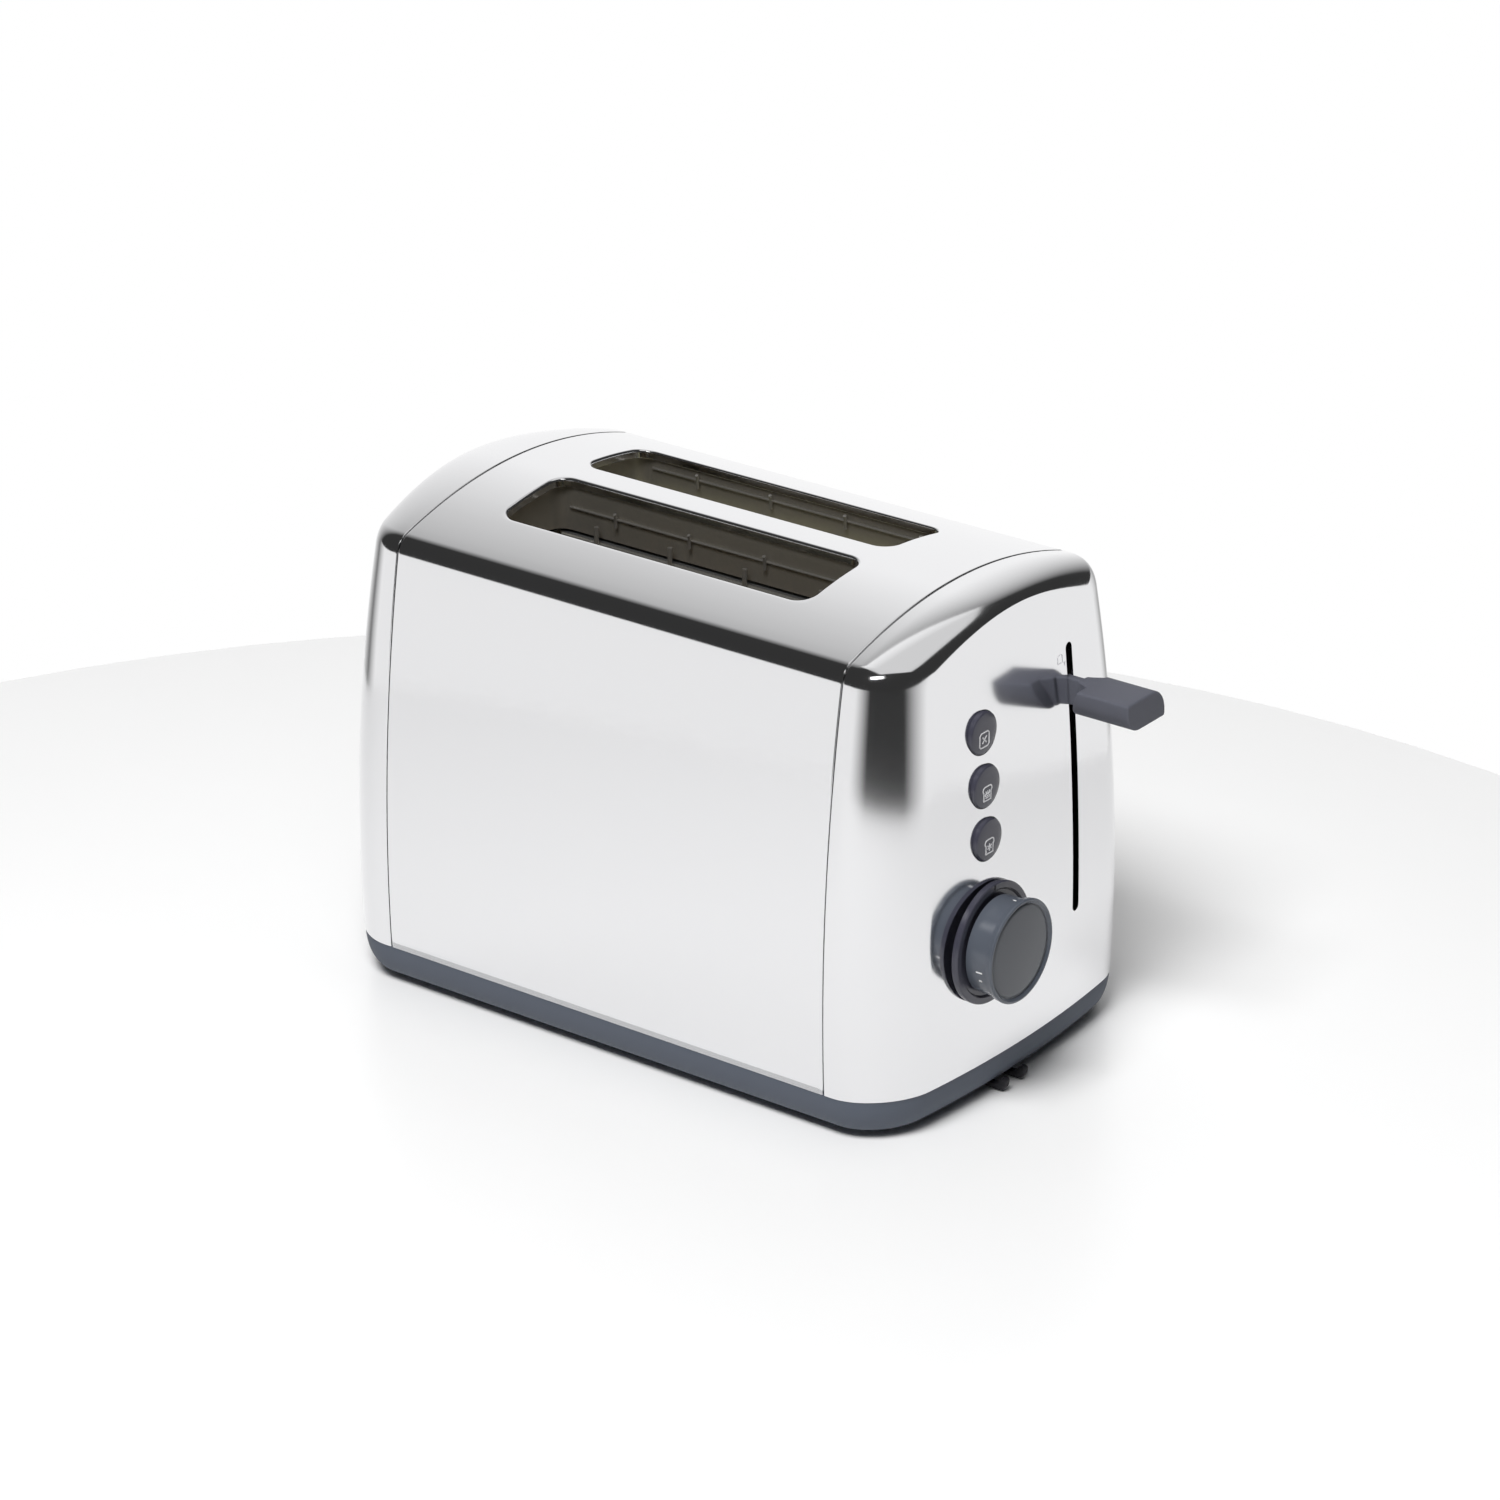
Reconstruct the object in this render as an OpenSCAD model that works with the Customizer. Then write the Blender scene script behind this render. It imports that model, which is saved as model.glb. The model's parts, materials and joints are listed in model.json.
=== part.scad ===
// Two-slot pop-up toaster with polished steel end caps, a one-piece steel wrap and a plastic base.
// Millimetres, +Z up. +X points to the control end, the origin is on the table under the middle.

/* [Body] */
// Length from end face to end face
body_l = 272; // [240:1:320]
// Width at the belly of the side walls
body_w = 166; // [156:1:200]
// Height from the table to the crest of the top
body_h = 194; // [180:1:230]
// Thickness of the steel sheet of the wrap and end caps
sheet_t = 0.8; // [0.5:0.1:1.2]
// Height at which the side and end walls stand plumb
belly_z = 50; // [30:1:70]
// How far each side wall leans in by the top bend
side_lean = 12.5; // [4:0.5:18]
// How far each end face leans in by the top bend
end_lean = 8; // [3:0.5:10]
// How far the middle of each end face stands proud in plan
end_bow = 3.5; // [0.5:0.5:5]
// Drop from the crest to the top bend
crown = 11; // [6:0.5:16]
// Outside radius of the bend between side and top
bend_r = 9; // [6:0.5:14]
// Depth of an end cap from its seam to its end face
cap_depth = 33; // [31:1:44]
// Length over which an end cap rolls into its end face
cap_r = 30; // [22:1:30]
// How far that roll draws in the sides of an end cap
cap_side = 26; // [18:1:32]
// How far that roll draws in the top of an end cap
cap_top = 5; // [3:0.5:12]
// Open seam between the wrap and an end cap
seam_gap = 0.4; // [0.2:0.1:0.8]

/* [Bread slots] */
// Length of each slot
slot_l = 142; // [120:1:160]
// Width of each slot
slot_w = 36.5; // [28:0.5:38]
// Steel left between the two slots
slot_web = 14; // [12:0.5:20]
// Corner radius of a slot
slot_r = 7; // [3:0.5:12]
// How far the slots sit back from the middle of the body
slot_back = 5; // [0:0.5:10]
// Depth of the turned-down edge round a slot
slot_lip = 5; // [3:0.5:8]

/* [Base] */
// Height of a foot below the base
foot_h = 3; // [2:0.5:6]
// Radius of a foot
foot_r = 8; // [6:0.5:10]
// Height of the base from its underside to the steel
base_h = 14.5; // [13:0.5:20]
// Wall and floor thickness of the base
base_t = 2.4; // [2:0.1:3]
// How far the underside of the base is set in from its rim
base_taper = 8; // [5:0.5:10]

/* [Crumb tray] */
// Width of the crumb tray
tray_w = 104; // [90:1:108]
// Depth of the crumb tray
tray_h = 6.6; // [5.5:0.1:7]
// Thickness of the crumb tray sheet
tray_t = 0.8; // [0.6:0.1:1.2]

/* [Carriage and lever] */
// Travel of the lever from rest down to the latch
travel = 80; // [60:1:84]
// Extra lift above rest that raises small slices
extra_lift = 11; // [6:1:14]
// Height of the bread racks at rest
rack_z = 108; // [104:1:114]
// Height of the middle of the lever at rest
lever_z = 145.5; // [144:0.5:150]
// Distance of the lever slot from the middle plane
lever_y = 32.5; // [28:0.5:34]
// Width of the lever slot
lever_slot_w = 4.4; // [4:0.1:6]
// Height of the lever stem in its slot
stem_h = 10; // [8:0.5:14]
// How far the lever knob reaches past the end face
knob_reach = 27.7; // [24:0.5:36]
// Length of the lever knob
knob_l = 23; // [16:0.5:24]
// Width of the lever knob
knob_w = 25; // [20:0.5:28]
// Height of the lever knob
knob_h = 12; // [11.5:0.5:14]
// Radius of the carriage guide rod
rod_r = 2.5; // [2:0.1:3.5]

/* [Controls] */
// Distance of the buttons and dial from the middle plane
control_y = 25; // [22:0.5:28]
// Height of the lowest button
button_z = 107.5; // [105:0.5:112]
// Distance from one button to the next
button_pitch = 20.6; // [19:0.1:22]
// Radius of a button
button_r = 8.2; // [7:0.1:9]
// Travel of a button
button_travel = 1.5; // [1:0.1:2]
// Height of the dial axis
dial_z = 67; // [62:0.5:70]
// Radius of the dial rim
dial_r = 20; // [17:0.5:22]
// How far the dial face stands off the end face
dial_reach = 15; // [12:0.5:18]
// Radius of the fixed ring round the dial
ring_r = 23.5; // [23:0.5:26]
// Radius of the dial shaft
shaft_r = 3; // [2.5:0.1:3.5]

/* [Heating chamber] */
// Thickness of the chassis plates
plate_t = 1; // [0.8:0.1:1.5]
// Room between the end of a slot and the chassis plate
chamber_gap = 6; // [4:0.5:8]
// Thickness of a mica card
mica_t = 0.8; // [0.5:0.1:1]
// Number of turns of heating ribbon on a card
turns = 15; // [8:1:18]
// Radius of a bread guide wire
wire_r = 1; // [0.8:0.1:1.2]
// Distance between upright guide wires
wire_pitch = 35; // [30:1:38]
// Number of upright wires in a bread guide
wires = 4; // [3:1:4]
// Radius of the cord bore in the gland
cord_bore_r = 3.6; // [3:0.1:4]

/* [Hidden] */

$fn = 48;
fit = 0.06;              // radial running clearance of shafts and pins
slack = 0.3;             // clearance between parts that only pass each other
rear_reach = 2;          // how far the tray handle stands off the rear end face
body_x = -(knob_reach - rear_reach) / 2;   // middle of the body in the part's frame
half_l = body_l / 2;
half_w = body_w / 2;
seam_x = half_l - cap_depth;
base_top = foot_h + base_h;
floor_z = foot_h + base_t;

// ---- Outer form: side walls, crowned top and the bend between them, all in the YZ plane ----
bend_z = body_h - crown;
side_r = pow(bend_z - belly_z, 2) / (2 * side_lean);
end_r = pow(bend_z - belly_z, 2) / (2 * end_lean);
crown_r = pow(half_w - side_lean - bend_r / 2, 2) / (2 * crown);
bow_r = pow(half_w - cap_side, 2) / (2 * end_bow);
SIDE_STEPS = 8;
BEND_STEPS = 6;
TOP_STEPS = 6;

function unit(v) = v / norm(v);
function plus(c, v) = [c + v[0], c + v[1]];
function about(c, h) = [c - h, c + h];
function side_y(z) = half_w - pow(z - belly_z, 2) / (2 * side_r);
function top_z(y) = body_h - y * y / (2 * crown_r);
function side_n(z) = unit([1, (z - belly_z) / side_r]);
function top_n(y) = unit([y / crown_r, 1]);
function lean(z) = pow(z - belly_z, 2) / (2 * end_r);
function bow(y) = y * y / (2 * bow_r);
function face_x(y, z) = half_l - lean(z) - bow(y);

// Where the bend touches the side (its height) and the top (its distance from the middle).
function bend_touch(k, n) = n == 0 ? k : let (s = side_n(k[0]), t = top_n(k[1])) bend_touch(
    [top_z(k[1]) - bend_r * t[1] + bend_r * s[1], side_y(k[0]) - bend_r * s[0] + bend_r * t[0]], n - 1);
touch = bend_touch([bend_z - bend_r, half_w - side_lean - bend_r], 12);
bend_c = [side_y(touch[0]), touch[0]] - bend_r * side_n(touch[0]);
bend_a0 = atan2(side_n(touch[0])[1], side_n(touch[0])[0]);
bend_a1 = atan2(top_n(touch[1])[1], top_n(touch[1])[0]);

// Half of the section from its foot on the +Y side up to the crest, set in by t.
function half_section(t, foot = base_top) = concat(
    [for (i = [0:SIDE_STEPS - 1]) let (z = foot + (touch[0] - foot) * i / SIDE_STEPS, n = side_n(z))
        [side_y(z) - t * n[0], i == 0 ? foot : z - t * n[1]]],
    [for (i = [0:BEND_STEPS]) let (a = bend_a0 + (bend_a1 - bend_a0) * i / BEND_STEPS)
        bend_c + (bend_r - t) * [cos(a), sin(a)]],
    [for (i = [1:TOP_STEPS]) let (y = touch[1] * (1 - i / TOP_STEPS), n = top_n(y))
        [y, top_z(y)] - t * n]);
function section(t, foot = base_top) = let (h = half_section(t, foot), n = len(h))
    concat(h, [for (i = [n - 2:-1:0]) [-h[i][0], h[i][1]]]);

// A closed skin through rings of points; ring k is joined to ring k + 1.
function ring_faces(rings, n, shut) = [for (k = [0:rings - 2], i = [0:shut ? n - 1 : n - 2])
    let (a = k * n + i, b = k * n + (i + 1) % n, c = a + n, d = b + n) each [[a, b, d], [a, d, c]]];

module along_x(x0, length) translate([x0, 0, 0]) rotate([90, 0, 90]) linear_extrude(length) children();
module along_y(y0, length) translate([0, y0 + length, 0]) rotate([90, 0,
    0]) linear_extrude(length) children();
module rod_x(x0, length, y, z, r) translate([x0, y, z]) rotate([0, 90, 0]) cylinder(h = length, r = r);
module box(x, y, z) translate([x[0], y[0], z[0]]) cube([x[1] - x[0], y[1] - y[0], z[1] - z[0]]);
module at_body() translate([body_x, 0, 0]) children();
module both_sides() for (s = [-1, 1]) scale([1, s, 1]) children();

// ---- Wrap ----
slot_x = -slot_back;
slot_y = (slot_web + slot_w) / 2;

module slot_outline(grow) offset(r = slot_r + grow) square([slot_l - 2 * slot_r, slot_w - 2 * slot_r],
    center = true);
module slot_prism(grow, z0, z1) for (s = [-1, 1])
    translate([slot_x, s * slot_y, z0]) linear_extrude(z1 - z0) slot_outline(grow);
module body_wrap() color("gainsboro") at_body() {
    skirt = slot_lip + crown;
    difference() {
        intersection() {
            along_x(-seam_x + seam_gap, 2 * (seam_x - seam_gap)) polygon(section(0));
            union() {
                difference() {
                    box(about(0, half_l), about(0, half_w), [base_top, body_h]);
                    along_x(-body_l, 2 * body_l) polygon(section(sheet_t, 0));
                }
                difference() {
                    slot_prism(sheet_t, body_h - skirt, body_h);
                    along_x(-body_l, 2 * body_l) translate([0, -slot_lip]) polygon(section(0, 0));
                }
            }
        }
        slot_prism(0, body_h - 2 * skirt, body_h + 1);
    }
}

// ---- End caps ----
ROLL_STEPS = 6;
FACE_STEPS = 4;
lip_l = 6;               // length of the joggled lip under the wrap
lip_in = sheet_t + slack;
// One ring of a cap: d is how far the roll has got, from 0 at its start to 1 at the end face, k scales the ring
// within the face, and w is the share of the face's lean and bow that applies.
function cap_ring(x, d, k, t, w) = [for (p = section(t))
    let (y = p[0] * (1 - d * (cap_side - t) / half_w) * k,
        z = base_top + (p[1] - base_top) * (1 - d * (cap_top - t) / (body_h - base_top)) * k)
        [x - w * (lean(z) + bow(y)), y, z]];
// Rings from the middle of the end face, over the rolled edge, to the end of the lip; t sets the skin in.
function cap_side(t) = concat(
    [for (i = [0:FACE_STEPS - 1]) cap_ring(half_l - t, 1, max(i, 0.02) / FACE_STEPS, t, 1)],
    [for (i = [0:ROLL_STEPS]) let (a = 90 * (1 - i / ROLL_STEPS))
        cap_ring(half_l - cap_r + (cap_r - t) * sin(a), 1 - cos(a), 1, t, sin(a))],
    [cap_ring(seam_x + t, 0, 1, t, 0), cap_ring(seam_x + t, 0, 1, lip_in + t, 0),
        cap_ring(seam_x - lip_l, 0, 1, lip_in + t, 0)]);
module cap_shell() {
    outer = cap_side(0);
    inner = cap_side(sheet_t);
    m = len(outer);
    n = len(outer[0]);
    rings = concat(outer, [for (k = [m - 1:-1:0]) inner[k]]);
    // The two rings that meet in the middle of the face are shut with fans, and the foot with quads.
    rim = [for (k = [0:m - 2], e = [0, 1])
        let (i = e * (n - 1), a = k * n + i, b = a + n, c = (2 * m - 1 - k) * n + i, d = c - n)
            each e == 0 ? [[a, b, d], [a, d, c]] : [[a, d, b], [a, c, d]]];
    fans = [for (i = [1:n - 2]) each [[0, i, i + 1], [(2 * m - 1) * n, (2 * m - 1) * n + i + 1,
        (2 * m - 1) * n + i]]];
    middle = let (a = 0, b = n - 1, c = (2 * m - 1) * n, d = c + n - 1) [[a, b, d], [a, d, c]];
    polyhedron([for (r = rings) each r], concat(ring_faces(2 * m, n, false), rim, fans, middle),
        convexity = 6);
}
// Slot for the lever stem, from below its lowest place to above its highest.
lever_slot = [lever_z - stem_h / 2 - travel - 2.5, lever_z + stem_h / 2 + extra_lift + 2.5];
button_hole_r = button_r + slack;
module control_holes() {
    box([seam_x + cap_depth / 2, half_l + 5], about(lever_y, lever_slot_w / 2),
        lever_slot + lever_slot_w * [0.5, -0.5]);
    for (z = lever_slot + lever_slot_w * [0.5, -0.5])
        rod_x(seam_x + cap_depth / 2, cap_depth, lever_y, z, lever_slot_w / 2);
    for (i = [0:2])
        rod_x(seam_x + cap_depth / 2, cap_depth, -control_y, button_z + i * button_pitch, button_hole_r);
    rod_x(seam_x + cap_depth / 2, cap_depth, -control_y, dial_z, ring_r - 4);
}
module front_end_cap() color("silver") at_body() difference() {
    cap_shell();
    control_holes();
}
gland_y = 44;
gland_z = 34;
gland_r = cord_bore_r + 2;
module rear_end_cap() color("silver") at_body() difference() {
    rotate([0, 0, 180]) cap_shell();
    rod_x(-half_l - 2, cap_depth / 2, gland_y, gland_z, gland_r);
}

// ---- Base ----
CORNER_STEPS = 7;
BOW_STEPS = 6;
// A closed outline in plan that follows the foot of the steel, set in by i.
function corner(i) = [for (k = [0:CORNER_STEPS])
    let (a = 90 * k / CORNER_STEPS, y = side_y(base_top) - cap_side + (cap_side - i) * cos(a))
        [half_l - cap_r + (cap_r - i) * sin(a) - (lean(base_top) + bow(y)) * sin(a), y]];
function end_line(i) = let (y0 = side_y(base_top) - cap_side) [for (k = [1:BOW_STEPS - 1])
    let (y = y0 * (1 - 2 * k / BOW_STEPS)) [half_l - lean(base_top) - i - bow(y), y]];
function end_curve(i) = let (c = corner(i), n = len(c)) concat(c, end_line(i),
    [for (k = [n - 1:-1:0]) [c[k][0], -c[k][1]]]);
function plan(i) = let (e = end_curve(i)) concat(e, [for (p = e) -p]);
function plan_ring(s) = [for (p = plan(s[1])) [p[0], p[1], s[0]]];

rim_in = 0.3;            // how far the rim of the base is set in from the steel
lip_set = lip_in + sheet_t + 2 * slack;    // the base's locating lip clears the lips of the end caps
base_rings = [[foot_h, base_taper], [foot_h + 1.4, base_taper * 0.68], [foot_h + base_h * 0.35,
    base_taper * 0.36],
    [foot_h + base_h * 0.65, base_taper * 0.14], [base_top, rim_in], [base_top, lip_set],
    [base_top + 4, lip_set], [base_top + 4, lip_set + 1.6], [base_top - 2, lip_set + 1.6],
    [foot_h + base_h * 0.35 + 1, base_taper * 0.36 + base_t], [floor_z, base_taper + base_t]];
module base_skin() {
    rings = [for (s = base_rings) plan_ring(s)];
    n = len(rings[0]);
    m = len(rings);
    end = (m - 1) * n;
    fans = [for (i = [1:n - 2]) each [[0, i + 1, i], [end, end + i, end + i + 1]]];
    polyhedron([for (r = rings) each r], concat(ring_faces(m, n, true), fans), convexity = 6);
}
tray_z = floor_z + 0.4;
tray_x1 = slot_x + slot_l / 2 + chamber_gap - 2;
tray_x0 = -half_l + lean(base_top) + 1;
foot_x = half_l - cap_r - 4;
foot_y = half_w - cap_side - 4;
boss_y = tray_w / 2 + 8;
boss_r = 4.2;
boss_top = base_top - 2;
screw_r = 1.5;
foot_seat = 0.8;         // depth of the seat of a foot in the underside
front_plate_x = slot_x + slot_l / 2 + chamber_gap;
rear_plate_x = slot_x - slot_l / 2 - chamber_gap;
tab_l = 10;              // reach of the chassis plates' bent feet
boss_x = [front_plate_x + plate_t + tab_l / 2, rear_plate_x - plate_t - tab_l / 2];

module at_feet() for (x = [-foot_x, foot_x], y = [-foot_y, foot_y]) translate([x, y, 0]) children();
module at_bosses() for (x = boss_x, y = [-boss_y, boss_y]) translate([x, y, 0]) children();
module base() color([0.35, 0.38, 0.42]) at_body() difference() {
    union() {
        base_skin();
        at_bosses() translate([0, 0, floor_z - 0.5]) cylinder(h = boss_top - floor_z + 0.5, r = boss_r);
        // Rails that guide the crumb tray.
        both_sides() box([tray_x0 + 12, tray_x1], plus(tray_w / 2, [slack, slack + 1.6]), [floor_z - 0.5,
            tray_z + 4]);
    }
    at_bosses() {
        translate([0, 0, foot_h - 1]) cylinder(h = base_top, r = screw_r + 0.15);
        translate([0, 0, foot_h - 1]) cylinder(h = 1 + base_t - 0.6, r = 3.4);
    }
    at_feet() translate([0, 0, foot_h - 1]) cylinder(h = 1 + foot_seat, r = foot_r + 0.1);
    // Mouth of the crumb tray in the rear wall.
    box([-half_l - 5, -half_l + base_taper + base_t + 6], (tray_w / 2 + slack) * [-1, 1], [floor_z,
        tray_z + tray_h + 0.6]);
    // Cooling slots in the floor, in two rows.
    for (i = [-4:4], s = [-1, 1])
        box(about(slot_x + i * 14, 2), s > 0 ? [10, 42] : [-42, -10], [foot_h - 1, floor_z + 1]);
}
module rubber_feet() color([0.12, 0.12, 0.13]) at_body() at_feet() {
    cylinder(h = 1, r1 = foot_r - 0.8, r2 = foot_r);
    translate([0, 0, 1]) cylinder(h = foot_h + foot_seat - 1, r = foot_r);
}
clip_y = [-12.6, -0.6];  // the two fins of the cord clip
module cord_clip() color([0.1, 0.1, 0.11]) at_body() for (y = clip_y)
    along_y(y - 1.5, 3) polygon([[half_l - 26, foot_h], [half_l - 24, 0.8], [half_l - 2, 0.8],
        [half_l - 0.5, 1.6], [half_l + 0.5, 5.5], [half_l - 2, 6], [half_l - 3.8, 3.4], [half_l - 5,
            foot_h]]);
module cord_gland() color([0.12, 0.12, 0.13]) at_body() {
    x0 = -face_x(gland_y, gland_z);
    difference() {
        union() {
            rod_x(x0 - 2.6, 2, gland_y, gland_z, gland_r + 1.6);
            rod_x(x0 - 2.6, 12.6, gland_y, gland_z, gland_r - 0.05);
            rod_x(x0 + 2.6, 2.4, gland_y, gland_z, gland_r + 1);
        }
        rod_x(x0 - 3, 20, gland_y, gland_z, cord_bore_r);
    }
}
module crumb_tray() color([0.62, 0.62, 0.6]) at_body() difference() {
    box([tray_x0, tray_x1], tray_w / 2 * [-1, 1], [tray_z, tray_z + tray_h]);
    box([tray_x0 - 1, tray_x1 - tray_t], (tray_w / 2 - tray_t) * [-1, 1], [tray_z + tray_t,
        tray_z + tray_h + 1]);
}
handle_t = 2.2;
module crumb_tray_handle() color([0.35, 0.38, 0.42]) at_body() {
    x0 = -half_l - rear_reach;
    difference() {
        box([x0, tray_x0], tray_w / 2 * [-1, 1], [tray_z, tray_z + tray_h]);
        // Finger recess in the underside.
        box([x0 + handle_t, tray_x0 - 0.8], [-24, 24], [tray_z - 1, tray_z + tray_h - 1.4]);
    }
}

// ---- Chassis ----
plate_y = boss_y + boss_r;
plate_z0 = boss_top + 1.2;
shelf_z = min(bend_z - bend_r - 4, body_h - 22);   // top of the chassis, under the crown
rack_t = 1.6;            // thickness of the rack blades in Y
rack_h = 8;              // height of the rack blades
rack_low = rack_z - travel - rack_h;
rack_high = rack_z + extra_lift;
guide_z = 30;            // height of the guide pivots
guide_in = slot_y - slot_w / 2 + 2.2;      // wires on the web side of a slot
guide_out = slot_y + slot_w / 2 - 8;       // wires on the outer side, under a flat rail
rack_y = (guide_in + guide_out) / 2;
rod_x0 = front_plate_x + 14;
rod_y = 6;
tab_z = plate_z0;        // bent shelf that carries the guide rod and solenoid
post_z = [40, 160];      // heights of the board standoffs
board_x = half_l - 24;
board_y = [-half_w + 19, 12];
board_z = [34, 166];
post_side = 3;           // from the line of the buttons to the post between the housing's legs
post_at = [[board_y[0] + 6, post_z[0]], [board_y[0] + 6, post_z[1]], [post_side - control_y, post_z[1]]];

module plate_face(holes_for_board) difference() {
    translate([-plate_y, plate_z0]) square([2 * plate_y, shelf_z - plate_z0]);
    // Slots for the rack blades.
    for (s = [-1, 1]) translate([s * rack_y - rack_t / 2 - 1.2, rack_low - 1.5])
        square([rack_t + 2.4, rack_high - rack_low + 3]);
    // Pivot holes of the bread guides.
    for (s = [-1, 1], y = [guide_in, guide_out]) translate([s * y, guide_z]) circle(r = wire_r + fit);
    if (holes_for_board) for (p = post_at) translate(p) circle(r = screw_r + 0.05);
}
module bent_feet(dir) for (s = [-1, 1]) {
    x = dir > 0 ? plus(front_plate_x, [0, plate_t + tab_l]) : plus(rear_plate_x, [-plate_t - tab_l, 0]);
    hole_x = dir > 0 ? boss_x[0] : boss_x[1];
    difference() {
        box(x, about(s * boss_y, boss_r), [boss_top, plate_z0]);
        translate([hole_x, s * boss_y, 0]) cylinder(h = body_h, r = screw_r + 0.05);
    }
}
module front_chassis_plate() color([0.72, 0.73, 0.74]) at_body() {
    along_x(front_plate_x, plate_t) plate_face(true);
    bent_feet(1);
    // Bent shelves that hold the guide rod at its two ends.
    for (z = [tab_z, shelf_z - 2]) difference() {
        box(plus(front_plate_x, [plate_t, 26]), [rod_y - 20, 29], [z, z + 1.5]);
        translate([rod_x0, rod_y, z - 1]) cylinder(h = 4, r = rod_r + 0.03);
    }
}
module rear_chassis_plate() color([0.72, 0.73, 0.74]) at_body() {
    along_x(rear_plate_x - plate_t, plate_t) plate_face(false);
    bent_feet(-1);
}
module top_frame() color([0.66, 0.66, 0.64]) at_body() difference() {
    box([rear_plate_x - plate_t, front_plate_x + plate_t], about(0, plate_y), [shelf_z, shelf_z + plate_t]);
    both_sides() box([slot_x - slot_l / 2 - 3, slot_x + slot_l / 2 + 3], [guide_in - 3.4,
        guide_out + 3.4], [shelf_z - 1, shelf_z + 2]);
}
chamber = [rear_plate_x, front_plate_x];
reflector_y = slot_y + slot_w / 2 + 10;
module side_reflector(s) color([0.7, 0.69, 0.64]) at_body()
    box(chamber, s > 0 ? [reflector_y, reflector_y + 0.6] : [-reflector_y - 0.6, -reflector_y],
        [plate_z0 + 2, shelf_z]);
module side_reflector_near() side_reflector(-1);
module side_reflector_far() side_reflector(1);
outer_card_y = slot_y + slot_w / 2 + 4;
card_x = chamber + [2, -2];
card_z = [plate_z0 + 6, shelf_z - 2];
card_tab = 4;            // height of the tabs that reach the chassis plates
module mica_card(y) color([0.62, 0.56, 0.44]) at_body() {
    box(card_x, about(y, mica_t / 2), card_z);
    for (z = [card_z[0], card_z[1] - card_tab]) box(chamber, about(y, mica_t / 2), [z, z + card_tab]);
}
module mica_card_near() mica_card(-outer_card_y);
module mica_card_centre() mica_card(0);
module mica_card_far() mica_card(outer_card_y);
ribbon_t = 0.3;
ribbon_w = 1.6;
ribbon_pitch = (card_z[1] - card_z[0]) / (turns + 0.4);
module heating_ribbon(y) color([0.5, 0.42, 0.36]) at_body() for (i = [0:turns - 1]) {
    z = card_z[0] + ribbon_pitch * (i + 0.7);
    g = mica_t / 2 + 0.05;
    // Link to the next turn, at the two ends of the card by turns.
    if (i < turns - 1) box(plus(card_x[i % 2], i % 2 == 0 ? [-0.05 - ribbon_t, -0.05] : [0.05,
        0.05 + ribbon_t]),
        about(y, g), [z, z + ribbon_pitch]);
    difference() {
        box(card_x + (0.05 + ribbon_t) * [-1, 1], about(y, g + ribbon_t), about(z, ribbon_w / 2));
        box(card_x + 0.05 * [-1, 1], about(y, g), about(z, ribbon_w));
    }
}
module heating_ribbon_near() heating_ribbon(-outer_card_y);
module heating_ribbon_centre() heating_ribbon(0);
module heating_ribbon_far() heating_ribbon(outer_card_y);

// ---- Bread guides: a pivot wire, uprights and flat rails, spot-welded into one grid ----
guide_top = shelf_z + 10;
ledge_z = shelf_z + 2;   // the flat top rail of an outer guide
ledge_w = 7;
rail_t = 0.8;
weld = 0.3;              // how deep a spot-welded rail sinks into its wires
// dir is the side of the rails, which is the side away from the bread.
module bread_guide(y, dir, ledge) color([0.78, 0.77, 0.72]) at_body() {
    rod_x(chamber[0] - plate_t - 1.5, chamber[1] - chamber[0] + 2 * plate_t + 3, y, guide_z, wire_r);
    for (i = [0:wires - 1]) translate([slot_x + (i - (wires - 1) / 2) * wire_pitch, y, guide_z])
        cylinder(h = (ledge ? ledge_z + rail_t : guide_top) - guide_z, r = wire_r * 0.98);
    rail_x = about(slot_x, slot_l / 2 - 3);
    rail_y = plus(y, dir > 0 ? [wire_r - weld, wire_r + rail_t] : [-wire_r - rail_t, weld - wire_r]);
    for (z = [guide_z + 45, guide_top - 48]) box(rail_x, rail_y, [z, z + 3]);
    if (ledge) box(rail_x, plus(y, dir > 0 ? [-wire_r, ledge_w] : [-ledge_w, wire_r]), [ledge_z,
        ledge_z + rail_t]);
    else box(rail_x, rail_y, [guide_top - 11, guide_top - 8]);
}
module bread_guide_near_outer() bread_guide(-guide_out, -1, true);
module bread_guide_near_inner() bread_guide(-guide_in, 1, false);
module bread_guide_far_inner() bread_guide(guide_in, -1, false);
module bread_guide_far_outer() bread_guide(guide_out, 1, true);

// ---- Carriage ----
carriage_x = front_plate_x + plate_t + 2.6;
carriage_t = 1.5;
arm_t = 1.8;
shelf_up = rack_z + 10;  // height of the carriage shelf
bush_r = 5.5;
armature_y = [14, 28];
module bread_rack(s) color([0.75, 0.74, 0.7]) at_body() {
    y = s * rack_y;
    box([chamber[0] - plate_t - 6, carriage_x], about(y, rack_t / 2), [rack_z - rack_h, rack_z]);
    difference() {
        box([slot_x - slot_l / 2 + 4, slot_x + slot_l / 2 - 4], about(y, 6), plus(rack_z, [-0.4, 0.8]));
        // Gaps that let crumbs fall through.
        for (i = [0:8], e = [-1, 1])
            box(about(slot_x + (i - 4) * 14, 4), plus(y, e > 0 ? [2, 4.6] : [-4.6, -2]), about(rack_z, 2));
    }
}
module bread_rack_near() bread_rack(-1);
module bread_rack_far() bread_rack(1);
module carriage_plate() color([0.7, 0.71, 0.72]) at_body() {
    box([carriage_x, carriage_x + carriage_t], [-slot_y - 4, lever_y - arm_t / 2], [rack_z - rack_h,
        shelf_up + 1.5]);
    difference() {
        box(plus(carriage_x, [carriage_t, 21]), [rod_y - 20, armature_y[1]], [shelf_up, shelf_up + 1.5]);
        translate([rod_x0, rod_y, shelf_up - 1]) cylinder(h = 4, r = bush_r);
    }
}
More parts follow.
